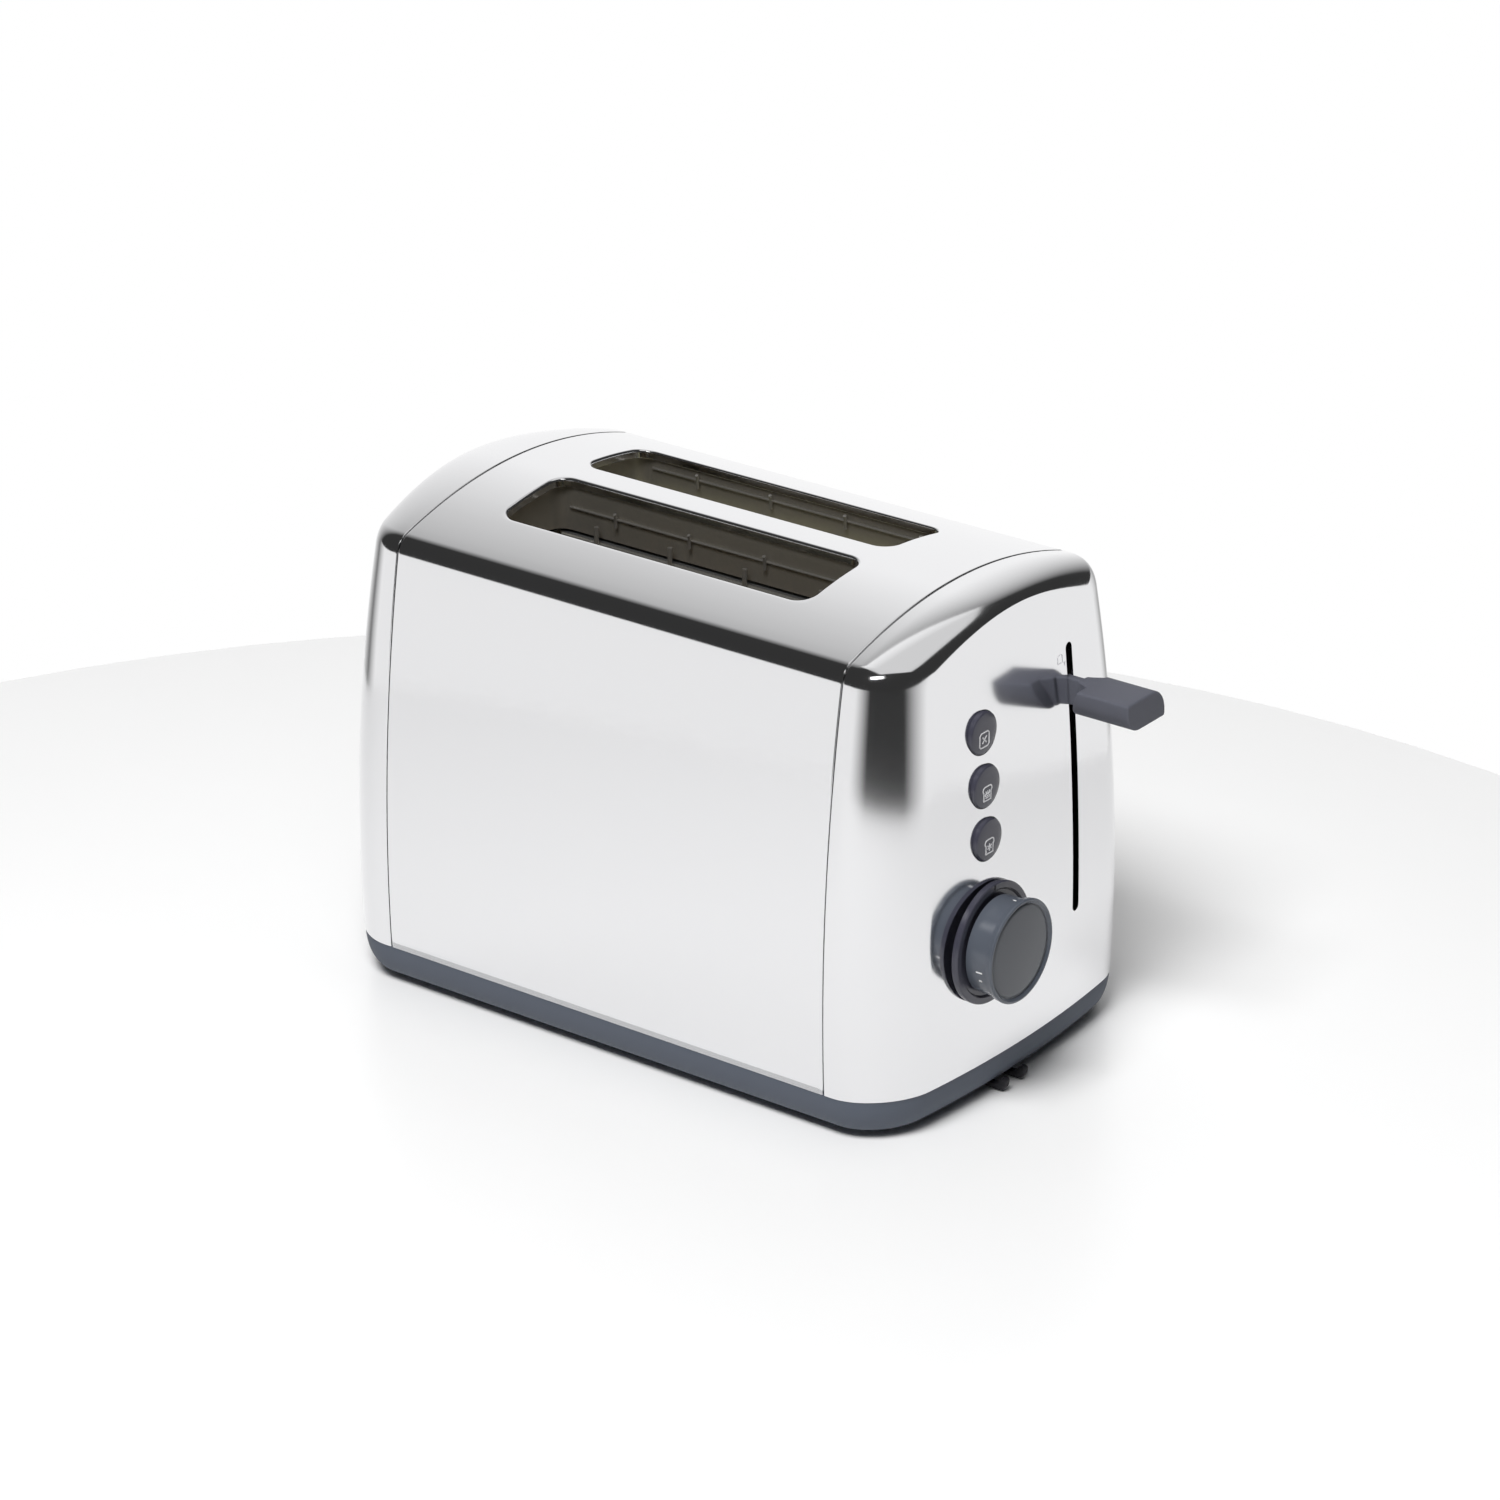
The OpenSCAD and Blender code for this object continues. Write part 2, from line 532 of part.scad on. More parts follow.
module carriage_bush() color([0.9, 0.9, 0.86]) at_body() translate([rod_x0, rod_y,
    rack_z - rack_h]) difference() {
    union() {
        cylinder(h = shelf_up - rack_z + rack_h + 3, r = bush_r - 0.02);
        cylinder(h = shelf_up - rack_z + rack_h, r = bush_r + 1);
    }
    translate([0, 0, -1]) cylinder(h = 60, r = rod_r + fit);
}
module guide_rod() color([0.82, 0.83, 0.84]) at_body() translate([rod_x0, rod_y, tab_z - 1])
    cylinder(h = shelf_z - tab_z + 2, r = rod_r);
module latch_armature() color([0.55, 0.56, 0.58]) at_body()
    box(plus(carriage_x, [4, 19]), armature_y, [shelf_up - 2, shelf_up]);
stem_x = half_l + knob_reach - knob_l;    // where the knob body starts
module lever_arm() color([0.7, 0.71, 0.72]) at_body() along_y(lever_y - arm_t / 2, arm_t) polygon([
    [carriage_x, rack_z - rack_h], [carriage_x + 16, rack_z - rack_h], [carriage_x + 18,
        lever_z - stem_h / 2 - 6],
    [carriage_x + 24, lever_z - stem_h / 2], [stem_x + 6, lever_z - stem_h / 2 + 2], [stem_x + 6,
        lever_z + stem_h / 2 - 2],
    [carriage_x + 4, lever_z + stem_h / 2], [carriage_x, lever_z - 4]]);
// The knob: a bar with a flat top and underside and two rounded flanks, and a neck that sleeves the arm.
knob_edge = 1.2;
knob_round = 5.6;
module knob_outline() hull() for (s = [-1, 1]) {
    translate([s * (knob_edge - knob_w / 2), s * (knob_h / 2 - knob_edge)]) circle(r = knob_edge, $fn = 24);
    translate([s * (knob_w / 2 - knob_round), s * (knob_h / 2 - knob_round)]) circle(r = knob_round,
        $fn = 32);
}
module lever_knob() color([0.2, 0.22, 0.26]) at_body() translate([0, lever_y, lever_z]) difference() {
    union() {
        hull() {
            along_x(stem_x + 1.5, knob_l - 3) knob_outline();
            along_x(stem_x, knob_l) offset(delta = -1) knob_outline();
        }
        box([half_l + 1.5, stem_x + 2], [-3.4, 3.4], stem_h / 2 * [-1, 1]);
    }
    box([half_l, stem_x + 6.1], arm_t / 2 * [-1, 1] + 0.04 * [-1, 1], (stem_h / 2 + 0.05) * [-1, 1]);
}

// ---- Lift spring: a close coil between the carriage shelf and the upper shelf ----
spring_r = 3.2;
spring_wire = 0.5;
spring_y = rod_y - 13;
spring_z = [shelf_up + 1.6, shelf_z - 2.1];
coils = 14;
SPRING_STEPS = 8;
SPRING_SIDES = 5;
module lift_spring() color([0.75, 0.76, 0.78]) at_body() {
    n = coils * SPRING_STEPS;
    pitch = (spring_z[1] - spring_z[0] - 2 * spring_wire) / n;
    rings = [for (k = [0:n]) let (a = 360 * k / SPRING_STEPS) [for (j = [0:SPRING_SIDES - 1])
        let (b = -360 * j / SPRING_SIDES, q = spring_r + spring_wire * cos(b))
            [rod_x0 + q * cos(a), spring_y + q * sin(a),
                spring_z[0] + spring_wire + k * pitch + spring_wire * sin(b)]]];
    end = n * SPRING_SIDES;
    polyhedron([for (r = rings) each r], concat(
        [for (f = ring_faces(n + 1, SPRING_SIDES, true)) [f[0], f[2], f[1]]],
        [for (i = [1:SPRING_SIDES - 2]) each [[0, i, i + 1], [end, end + i + 1, end + i]]]), convexity = 10);
}

// ---- Latch solenoid and mains switch ----
core_x = plus(carriage_x, [4, 19]);
core_z = [tab_z + 1.5, shelf_up - 2 - travel - 0.2];
module solenoid_core() color([0.5, 0.51, 0.53]) at_body() {
    box(core_x, armature_y, [core_z[0], core_z[0] + 3]);
    for (y = [armature_y[0], 19.5, armature_y[1] - 2.5]) box(core_x, [y, y + (y == 19.5 ? 3 : 2.5)], core_z);
}
module solenoid_coil() color([0.72, 0.38, 0.2]) at_body() difference() {
    box(core_x + [-1, 1], [17.1, 24.9], [core_z[0] + 3.1, core_z[1] - 1]);
    box(core_x - [0.05, -0.05], [19.4, 22.6], core_z + [0, 1]);
}
switch_y = [-13, -1];
switch_x = plus(core_x[0], [17, 25]);
module switch_block() color([0.85, 0.84, 0.78]) at_body() box(switch_x, switch_y - [18, 18], [tab_z,
    tab_z + 16]);
module contact_springs() color([0.8, 0.6, 0.35]) at_body() for (y = [-28, -21])
    along_y(y, 4) polygon([[switch_x[0] - 10, tab_z + 13], [switch_x[0], tab_z + 11.6],
        [switch_x[0], tab_z + 12.2], [switch_x[0] - 10, tab_z + 13.6]]);

// ---- Control board ----
board_t = 1.6;
module at_posts() for (p = post_at) translate([0, p[0], p[1]]) children();
module control_board() color([0.2, 0.45, 0.28]) at_body() difference() {
    box([board_x, board_x + board_t], board_y, board_z);
    at_posts() rod_x(board_x - 1, 4, 0, 0, screw_r + 0.1);
}
module board_standoffs() color([0.85, 0.8, 0.6]) at_body() at_posts() difference() {
    rod_x(front_plate_x + plate_t, board_x - front_plate_x - plate_t, 0, 0, 3);
    rod_x(front_plate_x, 6, 0, 0, screw_r + 0.05);
    rod_x(board_x - 6, 8, 0, 0, screw_r + 0.05);
}
module board_screws() color([0.75, 0.76, 0.78]) at_body() at_posts() {
    rod_x(board_x - 5, 5 + board_t, 0, 0, screw_r);
    rod_x(board_x + board_t, 1.8, 0, 0, 2.8);
}
module board_parts() color([0.2, 0.2, 0.22]) at_body() {
    x = board_x + board_t;
    // Controller chip, two capacitors and a connector, then a dropper capacitor on the back.
    box([x, x + 2], [-56, -44], [96, 112]);
    for (z = [86, 72]) rod_x(x, 9, -53, z, 3.2);
    box([x, x + 6], [-6, 6], [112, 130]);
    box([board_x - 12, board_x], [-58, -44], [118, 146]);
}
switch_h = 5;            // height of a tact switch over the board
module tact_switches() color([0.15, 0.15, 0.16]) at_body() for (i = [0:2]) translate([0, -control_y,
    button_z + i * button_pitch]) {
    box(plus(board_x + board_t, [0, switch_h - 1.5]), [-3, 3], [-3, 3]);
    rod_x(board_x + board_t + switch_h - 1.5, 1.5, 0, 0, 1.7);
}
module potentiometer() color([0.55, 0.57, 0.6]) at_body() difference() {
    union() {
        rod_x(board_x + board_t, 5, -control_y, dial_z, 8);
        rod_x(board_x + board_t + 5, 4, -control_y, dial_z, 4.4);
    }
    rod_x(board_x + board_t + 2, 20, -control_y, dial_z, shaft_r + fit);
}

// ---- Buttons and dial ----
house_x = board_x + board_t + switch_h + 3;   // back of the button housing
house_t = 3;
stem_r = 4;
module button_housing() color([0.16, 0.17, 0.19]) at_body() difference() {
    union() {
        box([house_x, house_x + house_t], about(-control_y, 10), plus(button_z, [-10,
            2 * button_pitch + 10]));
        // Legs that stand on the board.
        for (y = [-9, 7], z = [button_z - 9, button_z + 2 * button_pitch + 7])
            box([board_x + board_t, house_x + 0.5], plus(y - control_y, [0, 2]), [z, z + 2]);
    }
    for (i = [0:2]) rod_x(house_x - 1, house_t + 2, -control_y, button_z + i * button_pitch, stem_r + 0.1);
}
button_proud = 1.4;
module button(i) color([0.27, 0.29, 0.33]) at_body() {
    z = button_z + i * button_pitch;
    front = face_x(control_y, z) + button_proud;
    back = house_x + house_t + button_travel + slack;
    foot = board_x + board_t + switch_h + button_travel + 0.1;
    translate([0, -control_y, z]) rotate([0, 90, 0]) rotate_extrude() polygon([[0, foot], [stem_r, foot],
        [stem_r, back], [button_r, back], [button_r, front - 0.8], [button_r - 0.8, front], [0, front]]);
}
module cancel_button() button(2);
module reheat_button() button(1);
module defrost_button() button(0);

dial_x = face_x(control_y, dial_z);   // the end face behind the dial
// The back of the ring clears the end face, which bulges past the dial's own plane towards the middle.
ring_gap = max([for (a = [0:15:345]) face_x(control_y - ring_r * cos(a),
    dial_z + ring_r * sin(a))]) - dial_x + 0.25;
ring_t = ring_gap + 1.5;
skirt_r = dial_r - 1.6;
module dial_ring() color([0.2, 0.21, 0.24]) at_body() translate([dial_x, -control_y, dial_z]) rotate([0,
    90, 0])
    rotate_extrude() polygon([[ring_r - 7.5, -6], [ring_r - 4.3, -6], [ring_r - 4.3, ring_gap], [ring_r,
        ring_gap],
        [ring_r, ring_t - 0.8], [ring_r - 0.8, ring_t], [ring_r - 2.4, ring_t], [ring_r - 3.2, ring_t - 0.8],
        [ring_r - 7.5, ring_t - 0.8]]);
module browning_dial() color([0.22, 0.24, 0.28]) at_body() translate([dial_x, -control_y,
    dial_z]) rotate([0, 90, 0]) difference() {
    rotate_extrude() polygon([[0, ring_t + slack], [skirt_r, ring_t + slack], [skirt_r, dial_reach - 3.4],
        [dial_r, dial_reach - 2.6], [dial_r, dial_reach - 0.8], [dial_r - 0.8, dial_reach], [dial_r - 2,
            dial_reach - 0.5],
        [dial_r / 2, dial_reach - 0.1], [0, dial_reach]]);
    translate([0, 0, -1]) cylinder(h = dial_reach - 2, r = shaft_r);
    translate([0, 0, -1]) difference() {
        cylinder(h = dial_reach - 2.6, r = skirt_r - 1.8);
        cylinder(h = dial_reach, r = shaft_r + 2);
    }
}
module dial_shaft() color([0.8, 0.81, 0.82]) at_body()
    rod_x(board_x + board_t + 2.2, dial_x + dial_reach - 3.2 - board_x - board_t - 2.2, -control_y,
        dial_z, shaft_r - 0.02);

// ---- Wiring terminal and fasteners ----
module terminal_block() color([0.9, 0.88, 0.8]) at_body() difference() {
    box(plus(rear_plate_x - plate_t, [-14, 0]), [-20, 20], [guide_z + 10, guide_z + 22]);
    for (y = [-13, 0, 13]) translate([rear_plate_x - plate_t - 7, y, guide_z + 16]) cylinder(h = 8, r = 2.4);
}
module base_screws() color([0.75, 0.76, 0.78]) at_body() at_bosses() {
    translate([0, 0, floor_z - 0.6 - 1.6]) cylinder(h = 1.6, r = 3);
    translate([0, 0, floor_z - 0.7]) cylinder(h = plate_z0 - floor_z + 2, r = screw_r);
}
module frame_screws() color([0.75, 0.76, 0.78]) at_body() {
    // Short screws that hold the standoffs to the front chassis plate, from inside the chamber.
    at_posts() {
        rod_x(front_plate_x - 1.6, 1.6, 0, 0, 2.8);
        rod_x(front_plate_x - 0.1, plate_t + 5, 0, 0, screw_r);
    }
}

body_wrap();
front_end_cap();
rear_end_cap();
base();
rubber_feet();
cord_clip();
cord_gland();
crumb_tray();
crumb_tray_handle();
front_chassis_plate();
rear_chassis_plate();
top_frame();
side_reflector_near();
side_reflector_far();
mica_card_near();
mica_card_centre();
mica_card_far();
heating_ribbon_near();
heating_ribbon_centre();
heating_ribbon_far();
bread_guide_near_outer();
bread_guide_near_inner();
bread_guide_far_inner();
bread_guide_far_outer();
bread_rack_near();
bread_rack_far();
carriage_plate();
carriage_bush();
lever_arm();
lever_knob();
latch_armature();
guide_rod();
lift_spring();
solenoid_core();
solenoid_coil();
control_board();
board_standoffs();
board_screws();
board_parts();
tact_switches();
potentiometer();
button_housing();
cancel_button();
reheat_button();
defrost_button();
browning_dial();
dial_shaft();
dial_ring();
switch_block();
contact_springs();
terminal_block();
base_screws();
frame_screws();
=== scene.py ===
"""Two-slot pop-up toaster: meshes, finishes and studio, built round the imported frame."""

import json
import logging
import math
from collections.abc import Callable, Sequence
from dataclasses import dataclass, field
from enum import Enum

import bmesh
import bpy
from mathutils import Matrix, Vector


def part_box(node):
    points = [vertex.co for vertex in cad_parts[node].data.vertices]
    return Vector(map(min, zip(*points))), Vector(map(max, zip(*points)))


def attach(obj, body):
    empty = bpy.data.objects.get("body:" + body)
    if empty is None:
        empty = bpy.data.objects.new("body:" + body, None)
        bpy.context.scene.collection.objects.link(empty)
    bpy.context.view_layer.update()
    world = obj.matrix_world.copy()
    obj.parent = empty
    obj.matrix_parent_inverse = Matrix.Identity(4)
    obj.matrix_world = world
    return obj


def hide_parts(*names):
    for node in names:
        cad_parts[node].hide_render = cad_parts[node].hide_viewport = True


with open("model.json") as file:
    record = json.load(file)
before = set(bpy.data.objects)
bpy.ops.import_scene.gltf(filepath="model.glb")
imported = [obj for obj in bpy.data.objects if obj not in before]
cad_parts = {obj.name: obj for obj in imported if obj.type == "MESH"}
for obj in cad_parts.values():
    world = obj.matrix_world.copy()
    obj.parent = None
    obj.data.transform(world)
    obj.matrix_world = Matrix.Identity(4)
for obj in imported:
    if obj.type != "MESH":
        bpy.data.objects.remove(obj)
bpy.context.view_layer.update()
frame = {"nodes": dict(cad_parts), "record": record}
MM = 0.001
log = logging.getLogger("toaster")

Ring = list[Vector]


# ---------------------------------------------------------------- finishes


class Pattern(Enum):
    """How a finish varies over its surface."""

    POLISHED = "polished"
    BRUSHED = "brushed"
    MOULDED = "moulded"
    HEATED = "heated"
    FLAKED = "flaked"
    PLAIN = "plain"


class Tree:
    """A thin wrapper that adds and links shader nodes."""

    def __init__(self, tree: bpy.types.NodeTree) -> None:
        """Clears the tree and keeps it.

        Args:
            tree: The node tree to fill.
        """
        self.tree = tree
        tree.nodes.clear()

    def add(self, kind: str, settings: dict[str, object] | None = None, **inputs: object) -> bpy.types.Node:
        """Adds a node, sets its properties and its inputs.

        Args:
            kind: The node's type name.
            settings: Node properties by name.
            inputs: Socket values or output sockets, with underscores for spaces.

        Returns:
            The new node.
        """
        node = self.tree.nodes.new(kind)
        for name, value in (settings or {}).items():
            setattr(node, name, value)
        for name, value in inputs.items():
            socket = node.inputs[name.replace("_", " ")]
            if isinstance(value, bpy.types.NodeSocket):
                self.tree.links.new(value, socket)
            else:
                socket.default_value = value
        return node

    def ramp(self, factor: bpy.types.NodeSocket, low: float, high: float) -> bpy.types.NodeSocket:
        """Maps a 0 to 1 factor to a range of numbers.

        Args:
            factor: The incoming factor.
            low: The value at 0.
            high: The value at 1.

        Returns:
            The mapped output socket.
        """
        node = self.add("ShaderNodeMapRange", None, Value=factor)
        node.inputs["To Min"].default_value = low
        node.inputs["To Max"].default_value = high
        return node.outputs["Result"]

    def span(self, value: bpy.types.NodeSocket, start: float, stop: float, low: float,
             high: float) -> bpy.types.NodeSocket:
        """Maps one range of numbers to another.

        Args:
            value: The incoming value.
            start: Where the incoming range starts.
            stop: Where it ends.
            low: The value at its start.
            high: The value at its end.

        Returns:
            The mapped output socket.
        """
        node = self.add("ShaderNodeMapRange", None, Value=value)
        for name, number in (("From Min", start), ("From Max", stop), ("To Min", low), ("To Max", high)):
            node.inputs[name].default_value = number
        return node.outputs["Result"]

    def sum(self, operation: str, *terms: bpy.types.NodeSocket | float) -> bpy.types.NodeSocket:
        """One step of arithmetic.

        Args:
            operation: The Math node's operation.
            terms: Sockets or numbers.

        Returns:
            The result's socket.
        """
        node = self.add("ShaderNodeMath", {"operation": operation})
        for i, term in enumerate(terms):
            if isinstance(term, bpy.types.NodeSocket):
                self.tree.links.new(term, node.inputs[i])
            else:
                node.inputs[i].default_value = term
        return node.outputs["Value"]

    def mix(self, factor: bpy.types.NodeSocket, one: Sequence[float],
            two: Sequence[float]) -> bpy.types.NodeSocket:
        """Blends two colours by a factor.

        Args:
            factor: The incoming factor.
            one: Colour at 0, as red, green and blue.
            two: Colour at 1, as red, green and blue.

        Returns:
            The colour output socket.
        """
        node = self.add("ShaderNodeValToRGB", None, Fac=factor)
        node.color_ramp.elements[0].color = (*one, 1.0)
        node.color_ramp.elements[1].color = (*two, 1.0)
        return node.outputs["Color"]


@dataclass(frozen=True)
class Finish:
    """One real-world finish, as a procedural material.

    Attributes:
        name: The record's material slot, which names the material too.
        colour: Base colour, linear.
        second: The colour that the variation drifts to.
        metallic: 1 for bare metal.
        roughness: Lowest and highest roughness over the surface.
        pattern: How the surface varies.
        grain: Size of the main grain, in metres.
        relief: Strength of the bump.
        coat: Weight of a clear gloss coat.
        index: Refractive index of a finish that isn't metal.
    """

    name: str
    colour: tuple[float, float, float]
    second: tuple[float, float, float]
    metallic: float = 0.0
    roughness: tuple[float, float] = (0.4, 0.5)
    pattern: Pattern = Pattern.MOULDED
    grain: float = 0.4 * MM
    relief: float = 0.05
    coat: float = 0.0
    index: float = 1.5

    def material(self) -> bpy.types.Material:
        """Returns the material, made on first use."""
        known = bpy.data.materials.get(self.name)
        if known:
            return known
        made = bpy.data.materials.new(self.name)
        made.use_nodes = True
        tree = Tree(made.node_tree)
        place = tree.add("ShaderNodeTexCoord").outputs["Object"]
        shader = tree.add("ShaderNodeBsdfPrincipled", None, Metallic=self.metallic, Coat_Weight=self.coat,
                          IOR=self.index)
        shader.inputs["Coat Roughness"].default_value = 0.06
        broad, fine = self._grains(tree, place)
        tree.tree.links.new(tree.mix(broad, self.colour, self.second), shader.inputs["Base Color"])
        tree.tree.links.new(tree.ramp(fine, *self.roughness), shader.inputs["Roughness"])
        if self.relief > 0:
            bump = tree.add("ShaderNodeBump", None, Height=fine, Strength=self.relief, Distance=0.05 * MM)
            tree.tree.links.new(bump.outputs["Normal"], shader.inputs["Normal"])
        tree.add("ShaderNodeOutputMaterial", None, Surface=shader.outputs["BSDF"])
        return made

    def _grains(self, tree: Tree,
                place: bpy.types.NodeSocket) -> tuple[bpy.types.NodeSocket, bpy.types.NodeSocket]:
        """Makes the broad and the fine variation of this pattern.

        Args:
            tree: The tree to add to.
            place: Object coordinates.

        Returns:
            The broad factor and the fine factor.
        """
        stretch = (1.0, 1.0, 1.0)
        if self.pattern is Pattern.BRUSHED:
            stretch = (0.04, 1.0, 1.0)
        elif self.pattern is Pattern.POLISHED:
            stretch = (0.15, 1.0, 1.0)
        spread = tree.add("ShaderNodeMapping", None, Vector=place, Scale=stretch).outputs["Vector"]
        scale = 1.0 / self.grain
        if self.pattern is Pattern.FLAKED:
            cells = tree.add("ShaderNodeTexVoronoi", None, Vector=spread, Scale=scale)
            fine = cells.outputs["Distance"]
            broad = tree.add("ShaderNodeTexNoise", None, Vector=place, Scale=scale * 0.25,
                             Detail=4.0).outputs["Fac"]
        elif self.pattern is Pattern.HEATED:
            height = tree.add("ShaderNodeSeparateXYZ", None, Vector=place).outputs["Z"]
            fine = tree.add("ShaderNodeTexNoise", None, Vector=spread, Scale=scale, Detail=3.0).outputs["Fac"]
            warm = tree.add("ShaderNodeMapRange", None, Value=height)
            warm.inputs["From Min"].default_value = 60 * MM
            warm.inputs["From Max"].default_value = 185 * MM
            warm.inputs["To Min"].default_value = 0.9
            warm.inputs["To Max"].default_value = 0.15
            add = tree.add("ShaderNodeMath", {"operation": "MULTIPLY_ADD"})
            tree.tree.links.new(fine, add.inputs[0])
            add.inputs[1].default_value = 0.5
            tree.tree.links.new(warm.outputs["Result"], add.inputs[2])
            broad = add.outputs["Value"]
        else:
            fine = tree.add("ShaderNodeTexNoise", None, Vector=spread, Scale=scale, Detail=3.0).outputs["Fac"]
            broad = tree.add("ShaderNodeTexNoise", None, Vector=place, Scale=22.0, Detail=2.0).outputs["Fac"]
        return broad, fine


FINISHES: dict[str, Finish] = {f.name: f for f in (
    Finish("polished_wrap", (0.705, 0.705, 0.7), (0.72, 0.72, 0.715), 1.0, (0.05, 0.08), Pattern.POLISHED,
           0.5 * MM, 0.004),
    Finish("polished_cap", (0.69, 0.69, 0.68), (0.705, 0.705, 0.695), 1.0, (0.03, 0.05), Pattern.POLISHED,
           0.5 * MM, 0.003),
    Finish("slate_plastic", (0.058, 0.076, 0.097), (0.066, 0.085, 0.107), 0.0, (0.34, 0.46), Pattern.MOULDED,
           0.35 * MM, 0.12),
    Finish("lever_plastic", (0.004, 0.006, 0.012), (0.006, 0.009, 0.016), 0.0, (0.16, 0.24), Pattern.MOULDED,
           0.3 * MM, 0.03, 0.0, 1.36),
    Finish("button_plastic", (0.012, 0.014, 0.022), (0.016, 0.018, 0.026), 0.0, (0.26, 0.36), Pattern.MOULDED,
           0.3 * MM, 0.05, 0.0, 1.42),
    Finish("dial_plastic", (0.004, 0.007, 0.012), (0.006, 0.009, 0.015), 0.0, (0.14, 0.22), Pattern.MOULDED,
           0.3 * MM, 0.02, 0.0, 1.4),
    Finish("black_plastic", (0.018, 0.018, 0.02), (0.026, 0.026, 0.028), 0.0, (0.4, 0.55), Pattern.MOULDED,
           0.4 * MM, 0.1),
    Finish("black_rubber", (0.015, 0.015, 0.016), (0.028, 0.028, 0.028), 0.0, (0.7, 0.85), Pattern.MOULDED,
           0.5 * MM, 0.25),
    Finish("white_plastic", (0.72, 0.71, 0.67), (0.78, 0.77, 0.73), 0.0, (0.35, 0.5), Pattern.MOULDED,
           0.4 * MM, 0.08),
    Finish("galvanised_sheet", (0.36, 0.35, 0.31), (0.48, 0.47, 0.43), 0.5, (0.28, 0.45), Pattern.FLAKED,
           4 * MM, 0.02),
    Finish("reflector_sheet", (0.2, 0.17, 0.125), (0.3, 0.26, 0.2), 0.35, (0.35, 0.5), Pattern.BRUSHED,
           0.5 * MM, 0.03),
    Finish("guide_wire", (0.72, 0.71, 0.68), (0.5, 0.42, 0.3), 1.0, (0.14, 0.28), Pattern.HEATED,
           1.5 * MM, 0.02),
    Finish("bright_steel", (0.66, 0.67, 0.68), (0.72, 0.73, 0.74), 1.0, (0.14, 0.24), Pattern.BRUSHED,
           0.4 * MM, 0.02),
    Finish("core_steel", (0.33, 0.34, 0.36), (0.42, 0.43, 0.45), 1.0, (0.35, 0.5), Pattern.BRUSHED,
           0.4 * MM, 0.05),
    Finish("mica", (0.15, 0.115, 0.085), (0.24, 0.19, 0.14), 0.0, (0.3, 0.6), Pattern.FLAKED, 2.5 * MM, 0.15),
    Finish("heating_ribbon", (0.2, 0.16, 0.14), (0.3, 0.25, 0.22), 1.0, (0.4, 0.6), Pattern.BRUSHED,
           0.6 * MM, 0.05),
    Finish("copper_winding", (0.62, 0.26, 0.11), (0.72, 0.34, 0.16), 1.0, (0.25, 0.4), Pattern.BRUSHED,
           0.4 * MM, 0.2),
    Finish("brass_post", (0.7, 0.52, 0.24), (0.78, 0.6, 0.3), 1.0, (0.2, 0.32), Pattern.BRUSHED,
           0.4 * MM, 0.03),
    Finish("board_laminate", (0.02, 0.13, 0.05), (0.03, 0.18, 0.08), 0.0, (0.25, 0.4), Pattern.MOULDED,
           0.8 * MM, 0.1),
    Finish("dial_face", (0.07, 0.077, 0.09), (0.078, 0.085, 0.098), 0.0, (0.26, 0.34), Pattern.MOULDED,
           0.3 * MM, 0.05),
    Finish("white_mark", (0.8, 0.8, 0.8), (0.86, 0.86, 0.86), 0.0, (0.4, 0.5), Pattern.MOULDED,
           0.3 * MM, 0.02),
    Finish("grey_mark", (0.7, 0.7, 0.72), (0.75, 0.75, 0.77), 0.0, (0.4, 0.5), Pattern.MOULDED,
           0.3 * MM, 0.02),
    Finish("ledge_sheet", (0.17, 0.165, 0.1), (0.24, 0.23, 0.15), 0.2, (0.35, 0.5), Pattern.BRUSHED,
           0.5 * MM, 0.03),
)}


# ---------------------------------------------------------------- mesh making


@dataclass
class Draft:
    """Points and faces of a mesh in the making."""

    verts: list[Vector] = field(default_factory=list)
    faces: list[tuple[int, ...]] = field(default_factory=list)

    def loft(self, rings: Sequence[Ring], closed: bool = True, start: bool = False,
             end: bool = False) -> "Draft":
        """Joins rings of equal length with quads.

        Args:
            rings: The rings in order.
            closed: Whether each ring closes on itself.
            start: Whether to shut the first ring with one face.
            end: Whether to shut the last ring with one face.

        Returns:
            This draft.
        """
        first = len(self.verts)
        count = len(rings[0])
        for ring in rings:
            self.verts.extend(ring)
        for k in range(len(rings) - 1):
            for i in range(count if closed else count - 1):
                a = first + k * count + i
                b = first + k * count + (i + 1) % count
                self.faces.append((a, b, b + count, a + count))
        if start:
            self.faces.append(tuple(first + i for i in reversed(range(count))))
        if end:
            last = first + (len(rings) - 1) * count
            self.faces.append(tuple(last + i for i in range(count)))
        return self

    def mesh(self, name: str, outward: bool = True) -> bpy.types.Mesh:
        """Makes the Blender mesh, with doubles merged.

        Args:
            name: The mesh's name.
            outward: Whether to make the normals agree and point out.

        Returns:
            The new mesh.
        """
        made = bpy.data.meshes.new(name)
        made.from_pydata([tuple(v) for v in self.verts], [], self.faces)
        work = bmesh.new()
        work.from_mesh(made)
        bmesh.ops.remove_doubles(work, verts=work.verts, dist=0.002 * MM)
        bmesh.ops.dissolve_degenerate(work, edges=work.edges, dist=0.0005 * MM)
        if outward:
            bmesh.ops.recalc_face_normals(work, faces=work.faces)
        work.to_mesh(made)
        work.free()
        return made


